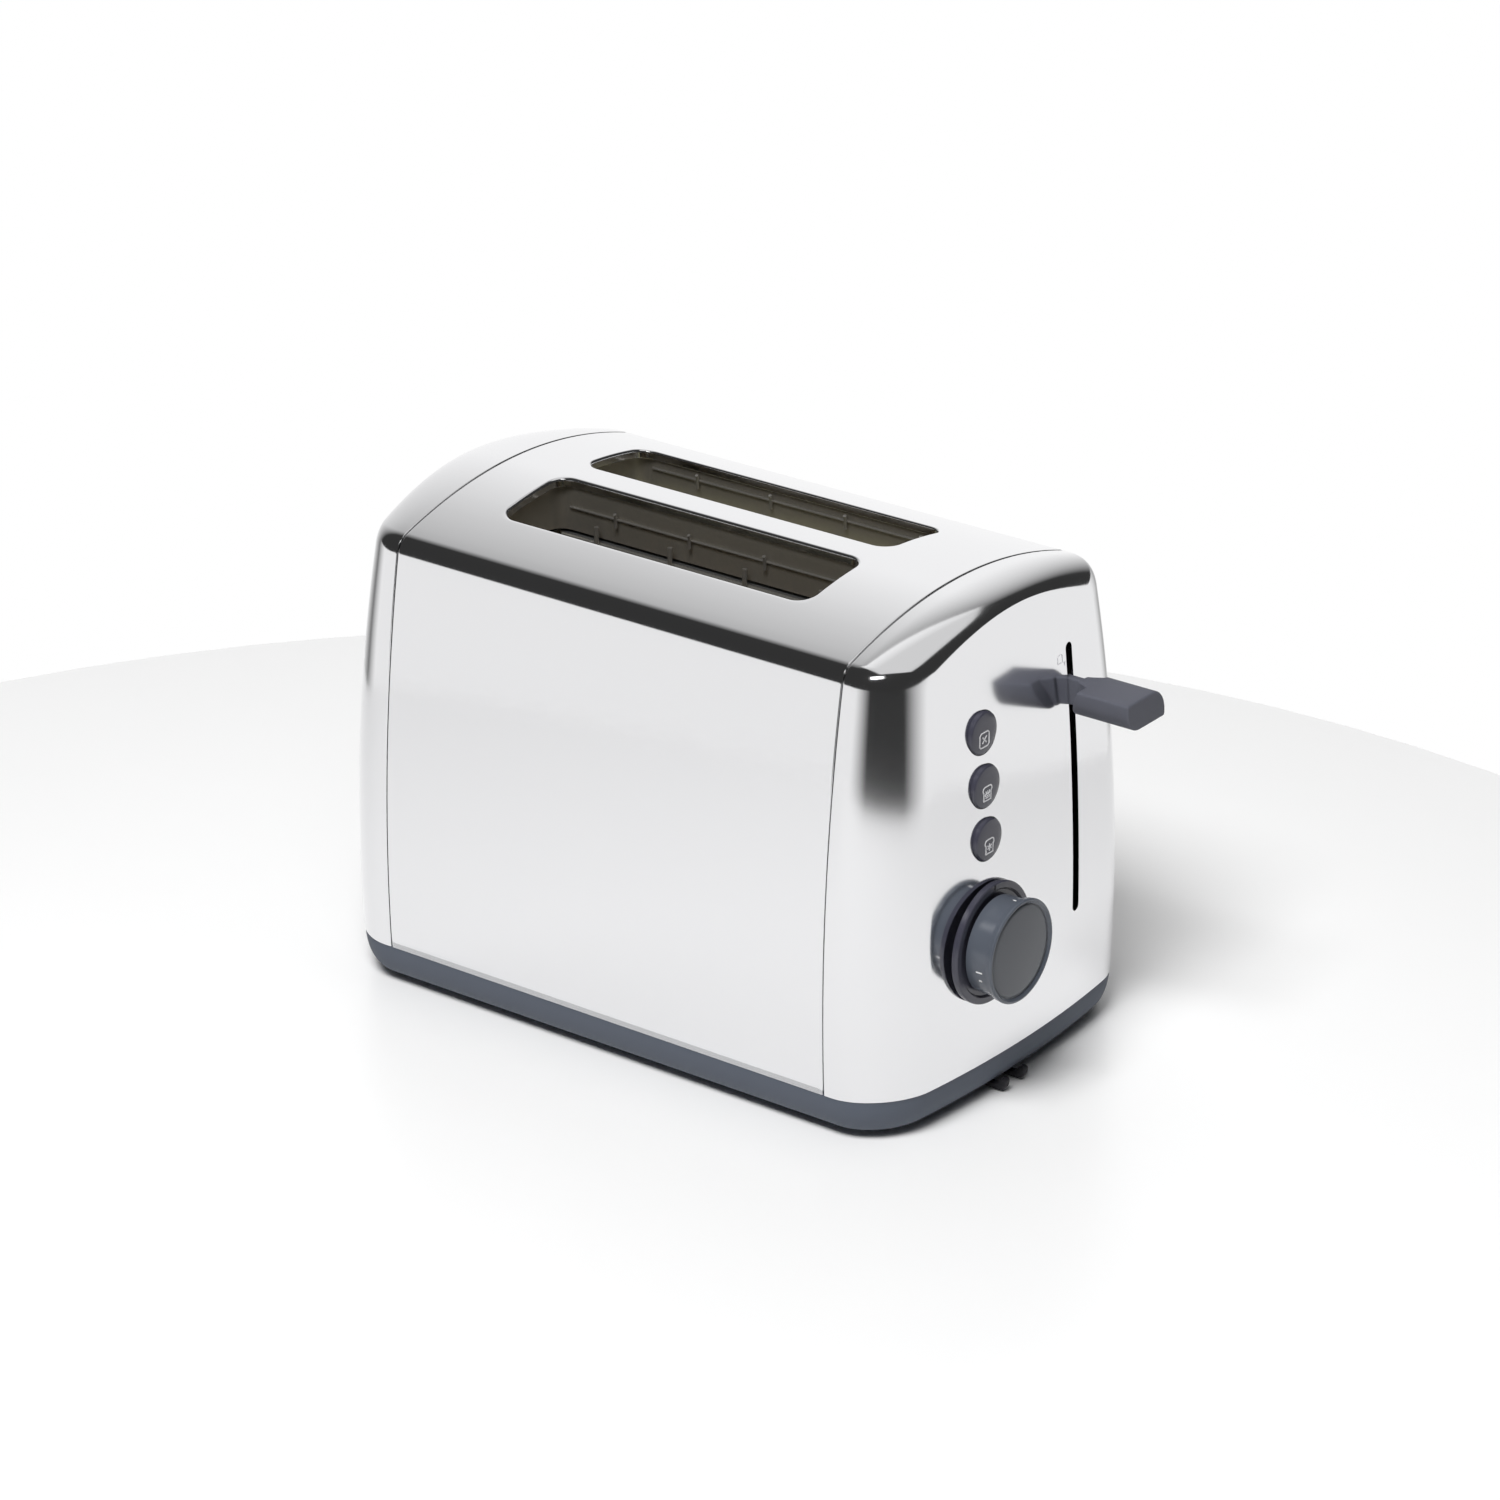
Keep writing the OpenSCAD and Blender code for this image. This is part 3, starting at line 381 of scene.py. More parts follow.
def place(name: str, mesh: bpy.types.Mesh, finish: str | Finish, crease: float = 32.0) -> bpy.types.Object:
    """Makes an object of a mesh, smooth up to a crease angle, and dresses it.

    Args:
        name: The piece's name.
        mesh: Its mesh, already in place.
        finish: The finish or its name.
        crease: Angle in degrees above which an edge is sharp.

    Returns:
        The new object.
    """
    obj = bpy.data.objects.new(name, mesh)
    bpy.context.scene.collection.objects.link(obj)
    mesh.shade_smooth()
    mesh.set_sharp_from_angle(angle=math.radians(crease))
    look = FINISHES[finish] if isinstance(finish, str) else finish
    mesh.materials.clear()
    mesh.materials.append(look.material())
    return obj


def settle(obj: bpy.types.Object, body: str, slot: str, *nodes: str) -> bpy.types.Object:
    """Rides a piece on its body and hides the CAD nodes that it stands for.

    Args:
        obj: The piece.
        body: The CAD body that it moves with.
        slot: The record's material slot, which is not used.
        nodes: The CAD nodes that it replaces.

    Returns:
        The piece.
    """
    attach(obj, body)
    if nodes:
        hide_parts(*nodes)
    log.info("%s rides on %s", obj.name, body)
    return obj


def applied(obj: bpy.types.Object) -> bpy.types.Object:
    """Bakes every modifier of an object into its mesh.

    Args:
        obj: The object with live modifiers.

    Returns:
        The same object with a plain mesh.
    """
    view = bpy.context.evaluated_depsgraph_get()
    made = bpy.data.meshes.new_from_object(obj.evaluated_get(view))
    old = obj.data
    obj.modifiers.clear()
    obj.data = made
    bpy.data.meshes.remove(old)
    return obj


def thicken(obj: bpy.types.Object, wall: float) -> bpy.types.Object:
    """Gives an open skin a wall on its inner side.

    Args:
        obj: The skin.
        wall: Wall thickness.

    Returns:
        The same object.
    """
    solid = obj.modifiers.new("wall", "SOLIDIFY")
    solid.thickness = wall
    solid.offset = -1.0
    return applied(obj)


def carve(obj: bpy.types.Object, cutter: Draft) -> bpy.types.Object:
    """Cuts a closed shape out of an object.

    Args:
        obj: The object to cut.
        cutter: The closed shapes to take away.

    Returns:
        The same object.
    """
    tool = bpy.data.objects.new("cutter", cutter.mesh("cutter"))
    bpy.context.scene.collection.objects.link(tool)
    cut = obj.modifiers.new("cut", "BOOLEAN")
    cut.operation = "DIFFERENCE"
    cut.solver = "EXACT"
    cut.object = tool
    applied(obj)
    bpy.data.objects.remove(tool)
    return obj


def joined(*drafts: Draft) -> Draft:
    """Puts several drafts into one.

    Args:
        drafts: The drafts to join.

    Returns:
        A new draft with all of them.
    """
    whole = Draft()
    for part in drafts:
        first = len(whole.verts)
        whole.verts.extend(part.verts)
        whole.faces.extend(tuple(first + i for i in face) for face in part.faces)
    return whole


def circle(centre: Vector, radius: float, across: Vector, up: Vector, steps: int) -> Ring:
    """Points on a circle.

    Args:
        centre: Its centre.
        radius: Its radius.
        across: Direction of the first point.
        up: Direction a quarter turn on.
        steps: Number of points.

    Returns:
        The ring of points.
    """
    turn = 2 * math.pi / steps
    return [centre + radius * (math.cos(i * turn) * across + math.sin(i * turn) * up) for i in range(steps)]


def lathe(profile: Sequence[tuple[float, float]], origin: Vector, axis: Vector, steps: int = 64) -> Draft:
    """Turns a profile about an axis.

    Args:
        profile: Radius and distance along the axis, from one end to the other.
        origin: Where the axis starts.
        axis: Unit direction of the axis.
        steps: Number of segments round.

    Returns:
        The turned shape, shut at an end whose radius is over 0.
    """
    side = axis.orthogonal().normalized()
    up = axis.cross(side)
    rings = [circle(origin + axis * h, max(r, 0.0), side, up, steps) for r, h in profile]
    return Draft().loft(rings, True, profile[0][0] > 0, profile[-1][0] > 0)


def arc(centre: tuple[float, float], radius: float, start: float, stop: float,
        steps: int) -> list[tuple[float, float]]:
    """Points on an arc in a plane.

    Args:
        centre: Its centre.
        radius: Its radius.
        start: First angle in degrees.
        stop: Last angle in degrees.
        steps: Number of steps.

    Returns:
        The points, both ends included.
    """
    angles = [math.radians(start + (stop - start) * i / steps) for i in range(steps + 1)]
    return [(centre[0] + radius * math.cos(a), centre[1] + radius * math.sin(a)) for a in angles]


def tube(path: Sequence[Vector], radius: float, sides: int = 10) -> Draft:
    """Sweeps a round wire along a path, with shut ends.

    Args:
        path: Points along the wire.
        radius: Its radius.
        sides: Number of sides.

    Returns:
        The wire.
    """
    rings: list[Ring] = []
    side = (path[1] - path[0]).orthogonal().normalized()
    for i, point in enumerate(path):
        way = (path[min(i + 1, len(path) - 1)] - path[max(i - 1, 0)]).normalized()
        side = (side - way * side.dot(way)).normalized()
        rings.append(circle(point, radius, side, way.cross(side), sides))
    return Draft().loft(rings, True, True, True)


def slab(corners: Sequence[Vector], drop: Vector) -> Draft:
    """A flat plate from an outline and its thickness.

    Args:
        corners: The outline.
        drop: Offset from one face to the other.

    Returns:
        The plate.
    """
    return Draft().loft([list(corners), [c + drop for c in corners]], True, True, True)


# ---------------------------------------------------------------- repeats


class Repeat:
    """A Geometry Nodes tree that sets out copies of a mesh in a row or round an axis."""

    def __init__(self) -> None:
        """Builds the tree with its named inputs."""
        self.tree = bpy.data.node_groups.new("repeat_in_a_row", "GeometryNodeTree")
        face = self.tree.interface
        face.new_socket("Geometry", in_out="INPUT", socket_type="NodeSocketGeometry")
        self.sockets = {
            name: face.new_socket(name, in_out="INPUT", socket_type=kind).identifier
            for name, kind in (
                ("Count", "NodeSocketInt"),
                ("Start", "NodeSocketVector"),
                ("Step", "NodeSocketVector"),
                ("Turn", "NodeSocketVector"),
                ("Finish", "NodeSocketMaterial"),
            )
        }
        face.new_socket("Geometry", in_out="OUTPUT", socket_type="NodeSocketGeometry")
        nodes, link = self.tree.nodes, self.tree.links.new
        given = nodes.new("NodeGroupInput")
        line = nodes.new("GeometryNodeMeshLine")
        line.mode = "OFFSET"
        index = nodes.new("GeometryNodeInputIndex")
        turned = nodes.new("ShaderNodeVectorMath")
        turned.operation = "SCALE"
        copies = nodes.new("GeometryNodeInstanceOnPoints")
        real = nodes.new("GeometryNodeRealizeInstances")
        dressed = nodes.new("GeometryNodeSetMaterial")
        result = nodes.new("NodeGroupOutput")
        link(given.outputs["Count"], line.inputs["Count"])
        link(given.outputs["Start"], line.inputs["Start Location"])
        link(given.outputs["Step"], line.inputs["Offset"])
        link(given.outputs["Turn"], turned.inputs[0])
        link(index.outputs["Index"], turned.inputs["Scale"])
        link(line.outputs["Mesh"], copies.inputs["Points"])
        link(given.outputs["Geometry"], copies.inputs["Instance"])
        link(turned.outputs["Vector"], copies.inputs["Rotation"])
        link(copies.outputs["Instances"], real.inputs["Geometry"])
        link(real.outputs["Geometry"], dressed.inputs["Geometry"])
        link(given.outputs["Finish"], dressed.inputs["Material"])
        link(dressed.outputs["Geometry"], result.inputs["Geometry"])

    def __call__(self, name: str, unit: Draft, finish: str, count: int, start: Vector, step: Vector,
                 turn: Vector = Vector((0, 0, 0)), crease: float = 32.0) -> bpy.types.Object:
        """Sets out copies and makes them one plain mesh.

        Args:
            name: The piece's name.
            unit: One copy, about the origin.
            finish: Name of the finish.
            count: Number of copies.
            start: Place of the first copy.
            step: From one copy to the next.
            turn: Turn from one copy to the next, in radians about X, Y and Z.
            crease: Angle in degrees above which an edge is sharp.

        Returns:
            The finished object.
        """
        obj = place(name, unit.mesh(name), finish, crease)
        row = obj.modifiers.new("row", "NODES")
        row.node_group = self.tree
        values = {"Count": count, "Start": start, "Step": step, "Turn": turn,
                  "Finish": FINISHES[finish].material()}
        for key, value in values.items():
            row[self.sockets[key]] = value
        applied(obj)
        if not obj.data.materials:
            obj.data.materials.append(FINISHES[finish].material())
        return obj


# ---------------------------------------------------------------- outer form


@dataclass(frozen=True)
class Form:
    """The outer form of the steel: crowned top, leaning sides and bowed, leaning end faces."""

    middle: float
    half_l: float
    half_w: float
    height: float
    foot: float
    belly: float = 50 * MM
    side_lean: float = 12.5 * MM
    end_lean: float = 8 * MM
    crown: float = 11 * MM
    bend_r: float = 9 * MM
    cap_r: float = 30 * MM
    cap_side: float = 26 * MM
    cap_top: float = 5 * MM
    cap_depth: float = 33 * MM
    end_bow: float = 3.5 * MM
    seam: float = 0.4 * MM
    sheet: float = 0.8 * MM

    @classmethod
    def from_frame(cls) -> "Form":
        """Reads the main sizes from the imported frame."""
        front, rear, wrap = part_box("front_end_cap"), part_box("rear_end_cap"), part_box("body_wrap")
        return cls(
            middle=(front[1][0] + rear[0][0]) / 2,
            half_l=(front[1][0] - rear[0][0]) / 2,
            half_w=(wrap[1][1] - wrap[0][1]) / 2,
            height=wrap[1][2],
            foot=wrap[0][2],
        )

    @property
    def bend_z(self) -> float:
        """Height of the bend where side and top would meet."""
        return self.height - self.crown

    @property
    def seam_x(self) -> float:
        """Distance of a seam from the middle."""
        return self.half_l - self.cap_depth

    @property
    def side_r(self) -> float:
        """Radius of the side wall in section."""
        return (self.bend_z - self.belly) ** 2 / (2 * self.side_lean)

    @property
    def crown_r(self) -> float:
        """Radius of the top in section."""
        return (self.half_w - self.side_lean - self.bend_r / 2) ** 2 / (2 * self.crown)

    def side_y(self, z: float) -> float:
        """Half width of the body at a height."""
        return self.half_w - (z - self.belly) ** 2 / (2 * self.side_r)

    def side_normal(self, z: float) -> Vector:
        """Outward normal of the side wall, as Y and Z."""
        return Vector((1.0, (z - self.belly) / self.side_r)).normalized()

    def top_z(self, y: float) -> float:
        """Height of the top."""
        return self.height - y * y / (2 * self.crown_r)

    def top_normal(self, y: float) -> Vector:
        """Outward normal of the top, as Y and Z."""
        return Vector((y / self.crown_r, 1.0)).normalized()

    def lean(self, z: float) -> float:
        """How far an end face leans in at a height."""
        return (z - self.belly) ** 2 * self.end_lean / (self.bend_z - self.belly) ** 2

    def bow(self, y: float) -> float:
        """How far an end face falls back towards its sides."""
        return y * y * self.end_bow / (self.half_w - self.cap_side) ** 2

    def face_x(self, y: float, z: float) -> float:
        """X of the front end face, in the frame."""
        return self.middle + self.half_l - self.lean(z) - self.bow(y)

    def touch(self) -> tuple[float, float]:
        """Where the bend leaves the side (its height) and meets the top (its Y)."""
        z, y = self.bend_z - self.bend_r, self.half_w - self.side_lean - self.bend_r
        for _ in range(20):
            side, top = self.side_normal(z), self.top_normal(y)
            z, y = (self.top_z(y) - self.bend_r * top[1] + self.bend_r * side[1],
                    self.side_y(z) - self.bend_r * side[0] + self.bend_r * top[0])
        return z, y

    def half_section(self, side_steps: int, bend_steps: int,
                     top: Sequence[float]) -> list[tuple[Vector, Vector]]:
        """Half of the section, from the foot up to the crest.

        Args:
            side_steps: Steps up the side.
            bend_steps: Steps round the bend.
            top: Falling Y values on the top, below the bend's own.

        Returns:
            Points and normals, as Y and Z.
        """
        side_z, top_y = self.touch()
        rows: list[tuple[Vector, Vector]] = []
        for i in range(side_steps):
            z = self.foot + (side_z - self.foot) * i / side_steps
            rows.append((Vector((self.side_y(z), z)), self.side_normal(z)))
        start, stop = self.side_normal(side_z), self.top_normal(top_y)
        centre = Vector((self.side_y(side_z), side_z)) - self.bend_r * start
        low, high = math.atan2(start[1], start[0]), math.atan2(stop[1], stop[0])
        for i in range(bend_steps + 1):
            a = low + (high - low) * i / bend_steps
            out = Vector((math.cos(a), math.sin(a)))
            rows.append((centre + self.bend_r * out, out))
        rows.extend((Vector((y, self.top_z(y))), self.top_normal(y)) for y in top)
        return rows

    def section(self, side_steps: int, bend_steps: int, top: Sequence[float]) -> list[tuple[Vector, Vector]]:
        """The whole section, from foot to foot over the crest; top must end at 0."""
        half = self.half_section(side_steps, bend_steps, top)
        mirrored = [(Vector((-p[0], p[1])), Vector((-n[0], n[1]))) for p, n in reversed(half[:-1])]
        return half + mirrored


# ---------------------------------------------------------------- steel wrap


@dataclass
class SteelWrap:
    """The one-piece steel wrap with its two bread slots and their rolled edges."""

    form: Form
    slot_l: float = 142 * MM
    slot_w: float = 36.5 * MM
    web: float = 14 * MM
    slot_r: float = 7 * MM
    back: float = 5 * MM
    roll: float = 1.1 * MM
    flange: float = 3.4 * MM
    margin: float = 3.4 * MM
    edge_r: float = 0.5 * MM
    corner_steps: int = 8

    @property
    def slot_y(self) -> float:
        """Distance of a slot's centre line from the middle."""
        return (self.web + self.slot_w) / 2

    def _legs(self, half: float, cells: int) -> list[float]:
        """Grid lines across a slot's patch, from its middle's low side to its high side.

        Args:
            half: Half size of the slot that way.
            cells: Cells along the straight stretch.

        Returns:
            Offsets from the slot's centre.
        """
        straight = half - self.slot_r
        leg = self.slot_r + self.roll + self.margin
        corner = [straight + leg * (i + 1) / self.corner_steps for i in range(self.corner_steps)]
        inner = [straight * (2 * i / cells - 1) for i in range(cells + 1)]
        return [-v for v in reversed(corner)] + inner + corner

    def _outline(self, dx: float, dy: float, grow: float) -> tuple[float, float]:
        """The point of the slot's grown outline that faces a point on its patch's border.

        Args:
            dx: X from the slot's centre.
            dy: Y from the slot's centre.
            grow: How far the outline is grown.

        Returns:
            The outline point from the slot's centre.
        """
        flat_x, flat_y = self.slot_l / 2 - self.slot_r, self.slot_w / 2 - self.slot_r
        leg = self.slot_r + self.roll + self.margin
        over_x, over_y = max(abs(dx) - flat_x, 0.0) / leg, max(abs(dy) - flat_y, 0.0) / leg
        turn = (over_x if over_y >= 1 - 1e-6 else 2 - over_y) / 2
        if over_y >= 1 - 1e-6 and over_x <= 0:
            return dx, math.copysign(self.slot_w / 2 + grow, dy)
        if over_x >= 1 - 1e-6 and over_y <= 0:
            return math.copysign(self.slot_l / 2 + grow, dx), dy
        a = turn * math.pi / 2
        r = self.slot_r + grow
        return (math.copysign(flat_x + r * math.sin(a), dx), math.copysign(flat_y + r * math.cos(a), dy))

    def _top(self, x: float, y: float, drop: float = 0.0) -> Vector:
        """A point on or under the top."""
        return Vector((x, y, self.form.top_z(y) - drop))

    def draft(self) -> Draft:
        """Lays out the skin: a grid with two patches left open, bridged to the rolled edges."""
        form = self.form
        xs = [form.middle - self.back + dx for dx in self._legs(self.slot_l / 2, 24)]
        ys = [self.slot_y + dy for dy in self._legs(self.slot_w / 2, 5)]
        top_y = form.touch()[1]
        outer = [ys[-1] + (top_y - ys[-1]) * t for t in (0.75, 0.5, 0.25)]
        top = outer + list(reversed(ys)) + [ys[0] / 2, 0.0]
        rows = form.section(30, 14, top)
        ends = [0.0, 0.04, 0.13, 0.28, 0.5, 1.0, 2.0, 5.0]
        whole = Draft()
        grid: list[Ring] = [self._row(point, normal, xs, [e * MM for e in ends]) for point, normal in rows]
        first_x, last_x = xs[0], xs[-1]

        def open_cell(row: int, column: int) -> bool:
            """Whether a grid cell lies in a slot's patch."""
            mid = (grid[row][column] + grid[row + 1][column + 1]) / 2
            return (first_x < mid.x < last_x and ys[0] < abs(mid.y) < ys[-1]
                    and mid.z > form.bend_z - form.bend_r / 2)

        width = len(grid[0])
        for line in grid:
            whole.verts.extend(line)
        for r in range(len(grid) - 1):
            for c in range(width - 1):
                if not open_cell(r, c):
                    a = r * width + c
                    whole.faces.append((a, a + 1, a + width + 1, a + width))
        for side in (-1, 1):
            whole = joined(whole, self._slot(side, xs, ys))
        return whole

    def _row(self, point: Vector, normal: Vector, xs: Sequence[float], ends: Sequence[float]) -> Ring:
        """One line of the grid from seam to seam, with rounded ends.

        Args:
            point: The row's Y and Z.
            normal: Its outward normal, as Y and Z.
            xs: The slot patch's grid lines.
            ends: Distances of the first grid lines from a seam.

        Returns:
            The points along the row.
        """
        form = self.form
        reach = form.seam_x - form.seam
        between = (0.35, 0.7)
        line: Ring = []
        for sign, edge in ((-1, xs[0]), (1, xs[-1])):
            stretch = []
            for u in ends:
                sink = 0.0
                if u < self.edge_r:
                    sink = self.edge_r - math.sqrt(self.edge_r ** 2 - (self.edge_r - u) ** 2)
                stretch.append((form.middle + sign * (reach - u), sink))
            tail = stretch[-1][0]
            stretch += [(tail + (edge - tail) * t, 0.0) for t in between]
            if sign < 0:
                line += [Vector((x, *(point - normal * sink))) for x, sink in stretch]
                line += [Vector((x, *point)) for x in xs]
            else:
                line += [Vector((x, *(point - normal * sink))) for x, sink in reversed(stretch)]
        return line

    def _slot(self, side: int, xs: Sequence[float], ys: Sequence[float]) -> Draft:
        """The bridge from one patch's border to the slot, its rolled edge and its flange.

        Args:
            side: -1 for the near slot, 1 for the far one.
            xs: Grid lines along the slot.
            ys: Grid lines across it, on the +Y side.

        Returns:
            The slot's draft.
        """
        mid_x, mid_y = self.form.middle - self.back, self.slot_y
        border = [(x - mid_x, ys[0] - mid_y) for x in xs]
        border += [(xs[-1] - mid_x, y - mid_y) for y in ys[1:]]
        border += [(x - mid_x, ys[-1] - mid_y) for x in reversed(xs[:-1])]
        border += [(xs[0] - mid_x, y - mid_y) for y in reversed(ys[1:-1])]
        rings: list[Ring] = []
        for t in (0.0, 0.35, 0.7, 1.0):
            ring = []
            for dx, dy in border:
                ox, oy = self._outline(dx, dy, self.roll)
                ring.append(self._top(mid_x + dx + (ox - dx) * t, side * (mid_y + dy + (oy - dy) * t)))
            rings.append(ring)
        for i in range(1, 7):
            a = math.radians(15 * i)
            grow, sink = self.roll * (1 - math.sin(a)), self.roll * (1 - math.cos(a))
            rings.append([self._top(mid_x + ox, side * (mid_y + oy), sink)
                          for ox, oy in (self._outline(dx, dy, grow) for dx, dy in border)])
        for depth in (self.roll + 0.3 * MM, self.flange - 0.3 * MM, self.flange):
            rings.append([self._top(mid_x + ox, side * (mid_y + oy), depth)
                          for ox, oy in (self._outline(dx, dy, 0.0) for dx, dy in border)])
        return Draft().loft(rings)

    def build(self) -> None:
        """Makes the wrap and dresses it."""
        obj = place("steel_wrap", self.draft().mesh("steel_wrap"), "polished_wrap", 40.0)
        face_out(obj, Vector((self.form.middle, 0, self.form.height / 2)))
        thicken(obj, self.form.sheet * 0.95)
        settle(obj, "housing", "polished_wrap", "body_wrap")


def face_out(obj: bpy.types.Object, inside: Vector) -> None:
    """Turns an open skin's faces away from a point inside it.

    Args:
        obj: The skin, with faces that already agree.
        inside: A point inside.
    """
    score = sum((f.center - inside).dot(f.normal) * f.area for f in obj.data.polygons)
    if score < 0:
        obj.data.flip_normals()


# ---------------------------------------------------------------- end caps


@dataclass
class EndCap:
    """A pressed end cap: bowed face, rolled edge, and a joggled lip under the wrap."""

    form: Form
    front: bool
    lip: float = 6 * MM
    slack: float = 0.3 * MM
    edge_r: float = 0.5 * MM

    def _ring(self, x: float, drawn: float, scale: float, sink: float, shaped: float) -> Ring:
        """One ring of the skin, as the section scaled about the middle of its foot.

        Args:
            x: Distance from the middle of the body.
            drawn: How far the roll has got, from 0 at its start to 1 at the face.
            scale: Further scale, below 1 on the face.
            sink: How far the ring lies under the outer skin.
            shaped: Share of the end face's lean and bow that applies.

        Returns:
            The ring from foot to foot.
        """
        form = self.form
        across = (1 - drawn * form.cap_side / form.half_w) * scale
        up = (1 - drawn * form.cap_top / (form.height - form.foot)) * scale
        sign = 1 if self.front else -1
        ring: Ring = []
        for point, normal in self.rows:
            y, z = (point - normal * sink)
            y, z = y * across, form.foot + (max(z, form.foot) - form.foot) * up
            ring.append(Vector((form.middle + sign * (x - shaped * (form.lean(z) + form.bow(y))), y, z)))
        return ring

    def draft(self) -> Draft:
        """Lays out the skin from the middle of the face to the end of the lip."""
        form = self.form
        top_y = form.touch()[1]
        self.rows = form.section(26, 12, [top_y * (1 - i / 14) for i in range(1, 15)])
        rings = [self._ring(form.half_l, 1.0, k, 0.0, 1.0)
                 for k in (0.0, 0.08, 0.2, 0.32, 0.44, 0.56, 0.68, 0.8, 0.9, 0.96, 0.985)]
        for i in range(33):
            a = math.radians(90 * (1 - (i / 32) ** 1.4))
            rings.append(self._ring(form.half_l - form.cap_r * (1 - math.sin(a)), 1 - math.cos(a), 1.0, 0.0,
                                    math.sin(a)))
        for u in (1.5, 0.9, 0.5):
            rings.append(self._ring(form.seam_x + u * MM, 0.0, 1.0, 0.0, 0.0))
        for i in range(1, 5):
            a = math.radians(90 * i / 4)
            rings.append(self._ring(form.seam_x + self.edge_r * (1 - math.sin(a)), 0.0, 1.0,
                                    self.edge_r * (1 - math.cos(a)), 0.0))
        under = form.sheet + self.slack
        for x in (form.seam_x, form.seam_x - 0.3 * MM, form.seam_x - self.lip):
            rings.append(self._ring(x, 0.0, 1.0, under, 0.0))
        return Draft().loft(rings, False)

    def build(self, cutter: Draft) -> None:
        """Makes the cap with its openings.

        Args:
            cutter: Shapes of the openings.
        """
        name = "front_cap_steel" if self.front else "rear_cap_steel"
        obj = place(name, self.draft().mesh(name), "polished_cap", 40.0)
        face_out(obj, Vector((self.form.middle, 0, self.form.height / 2)))
        thicken(obj, self.form.sheet * 0.9)
        carve(obj, cutter)
        obj.data.shade_smooth()
        obj.data.set_sharp_from_angle(angle=math.radians(40))
        settle(obj, "housing", "polished_cap", "front_end_cap" if self.front else "rear_end_cap")


# ---------------------------------------------------------------- base


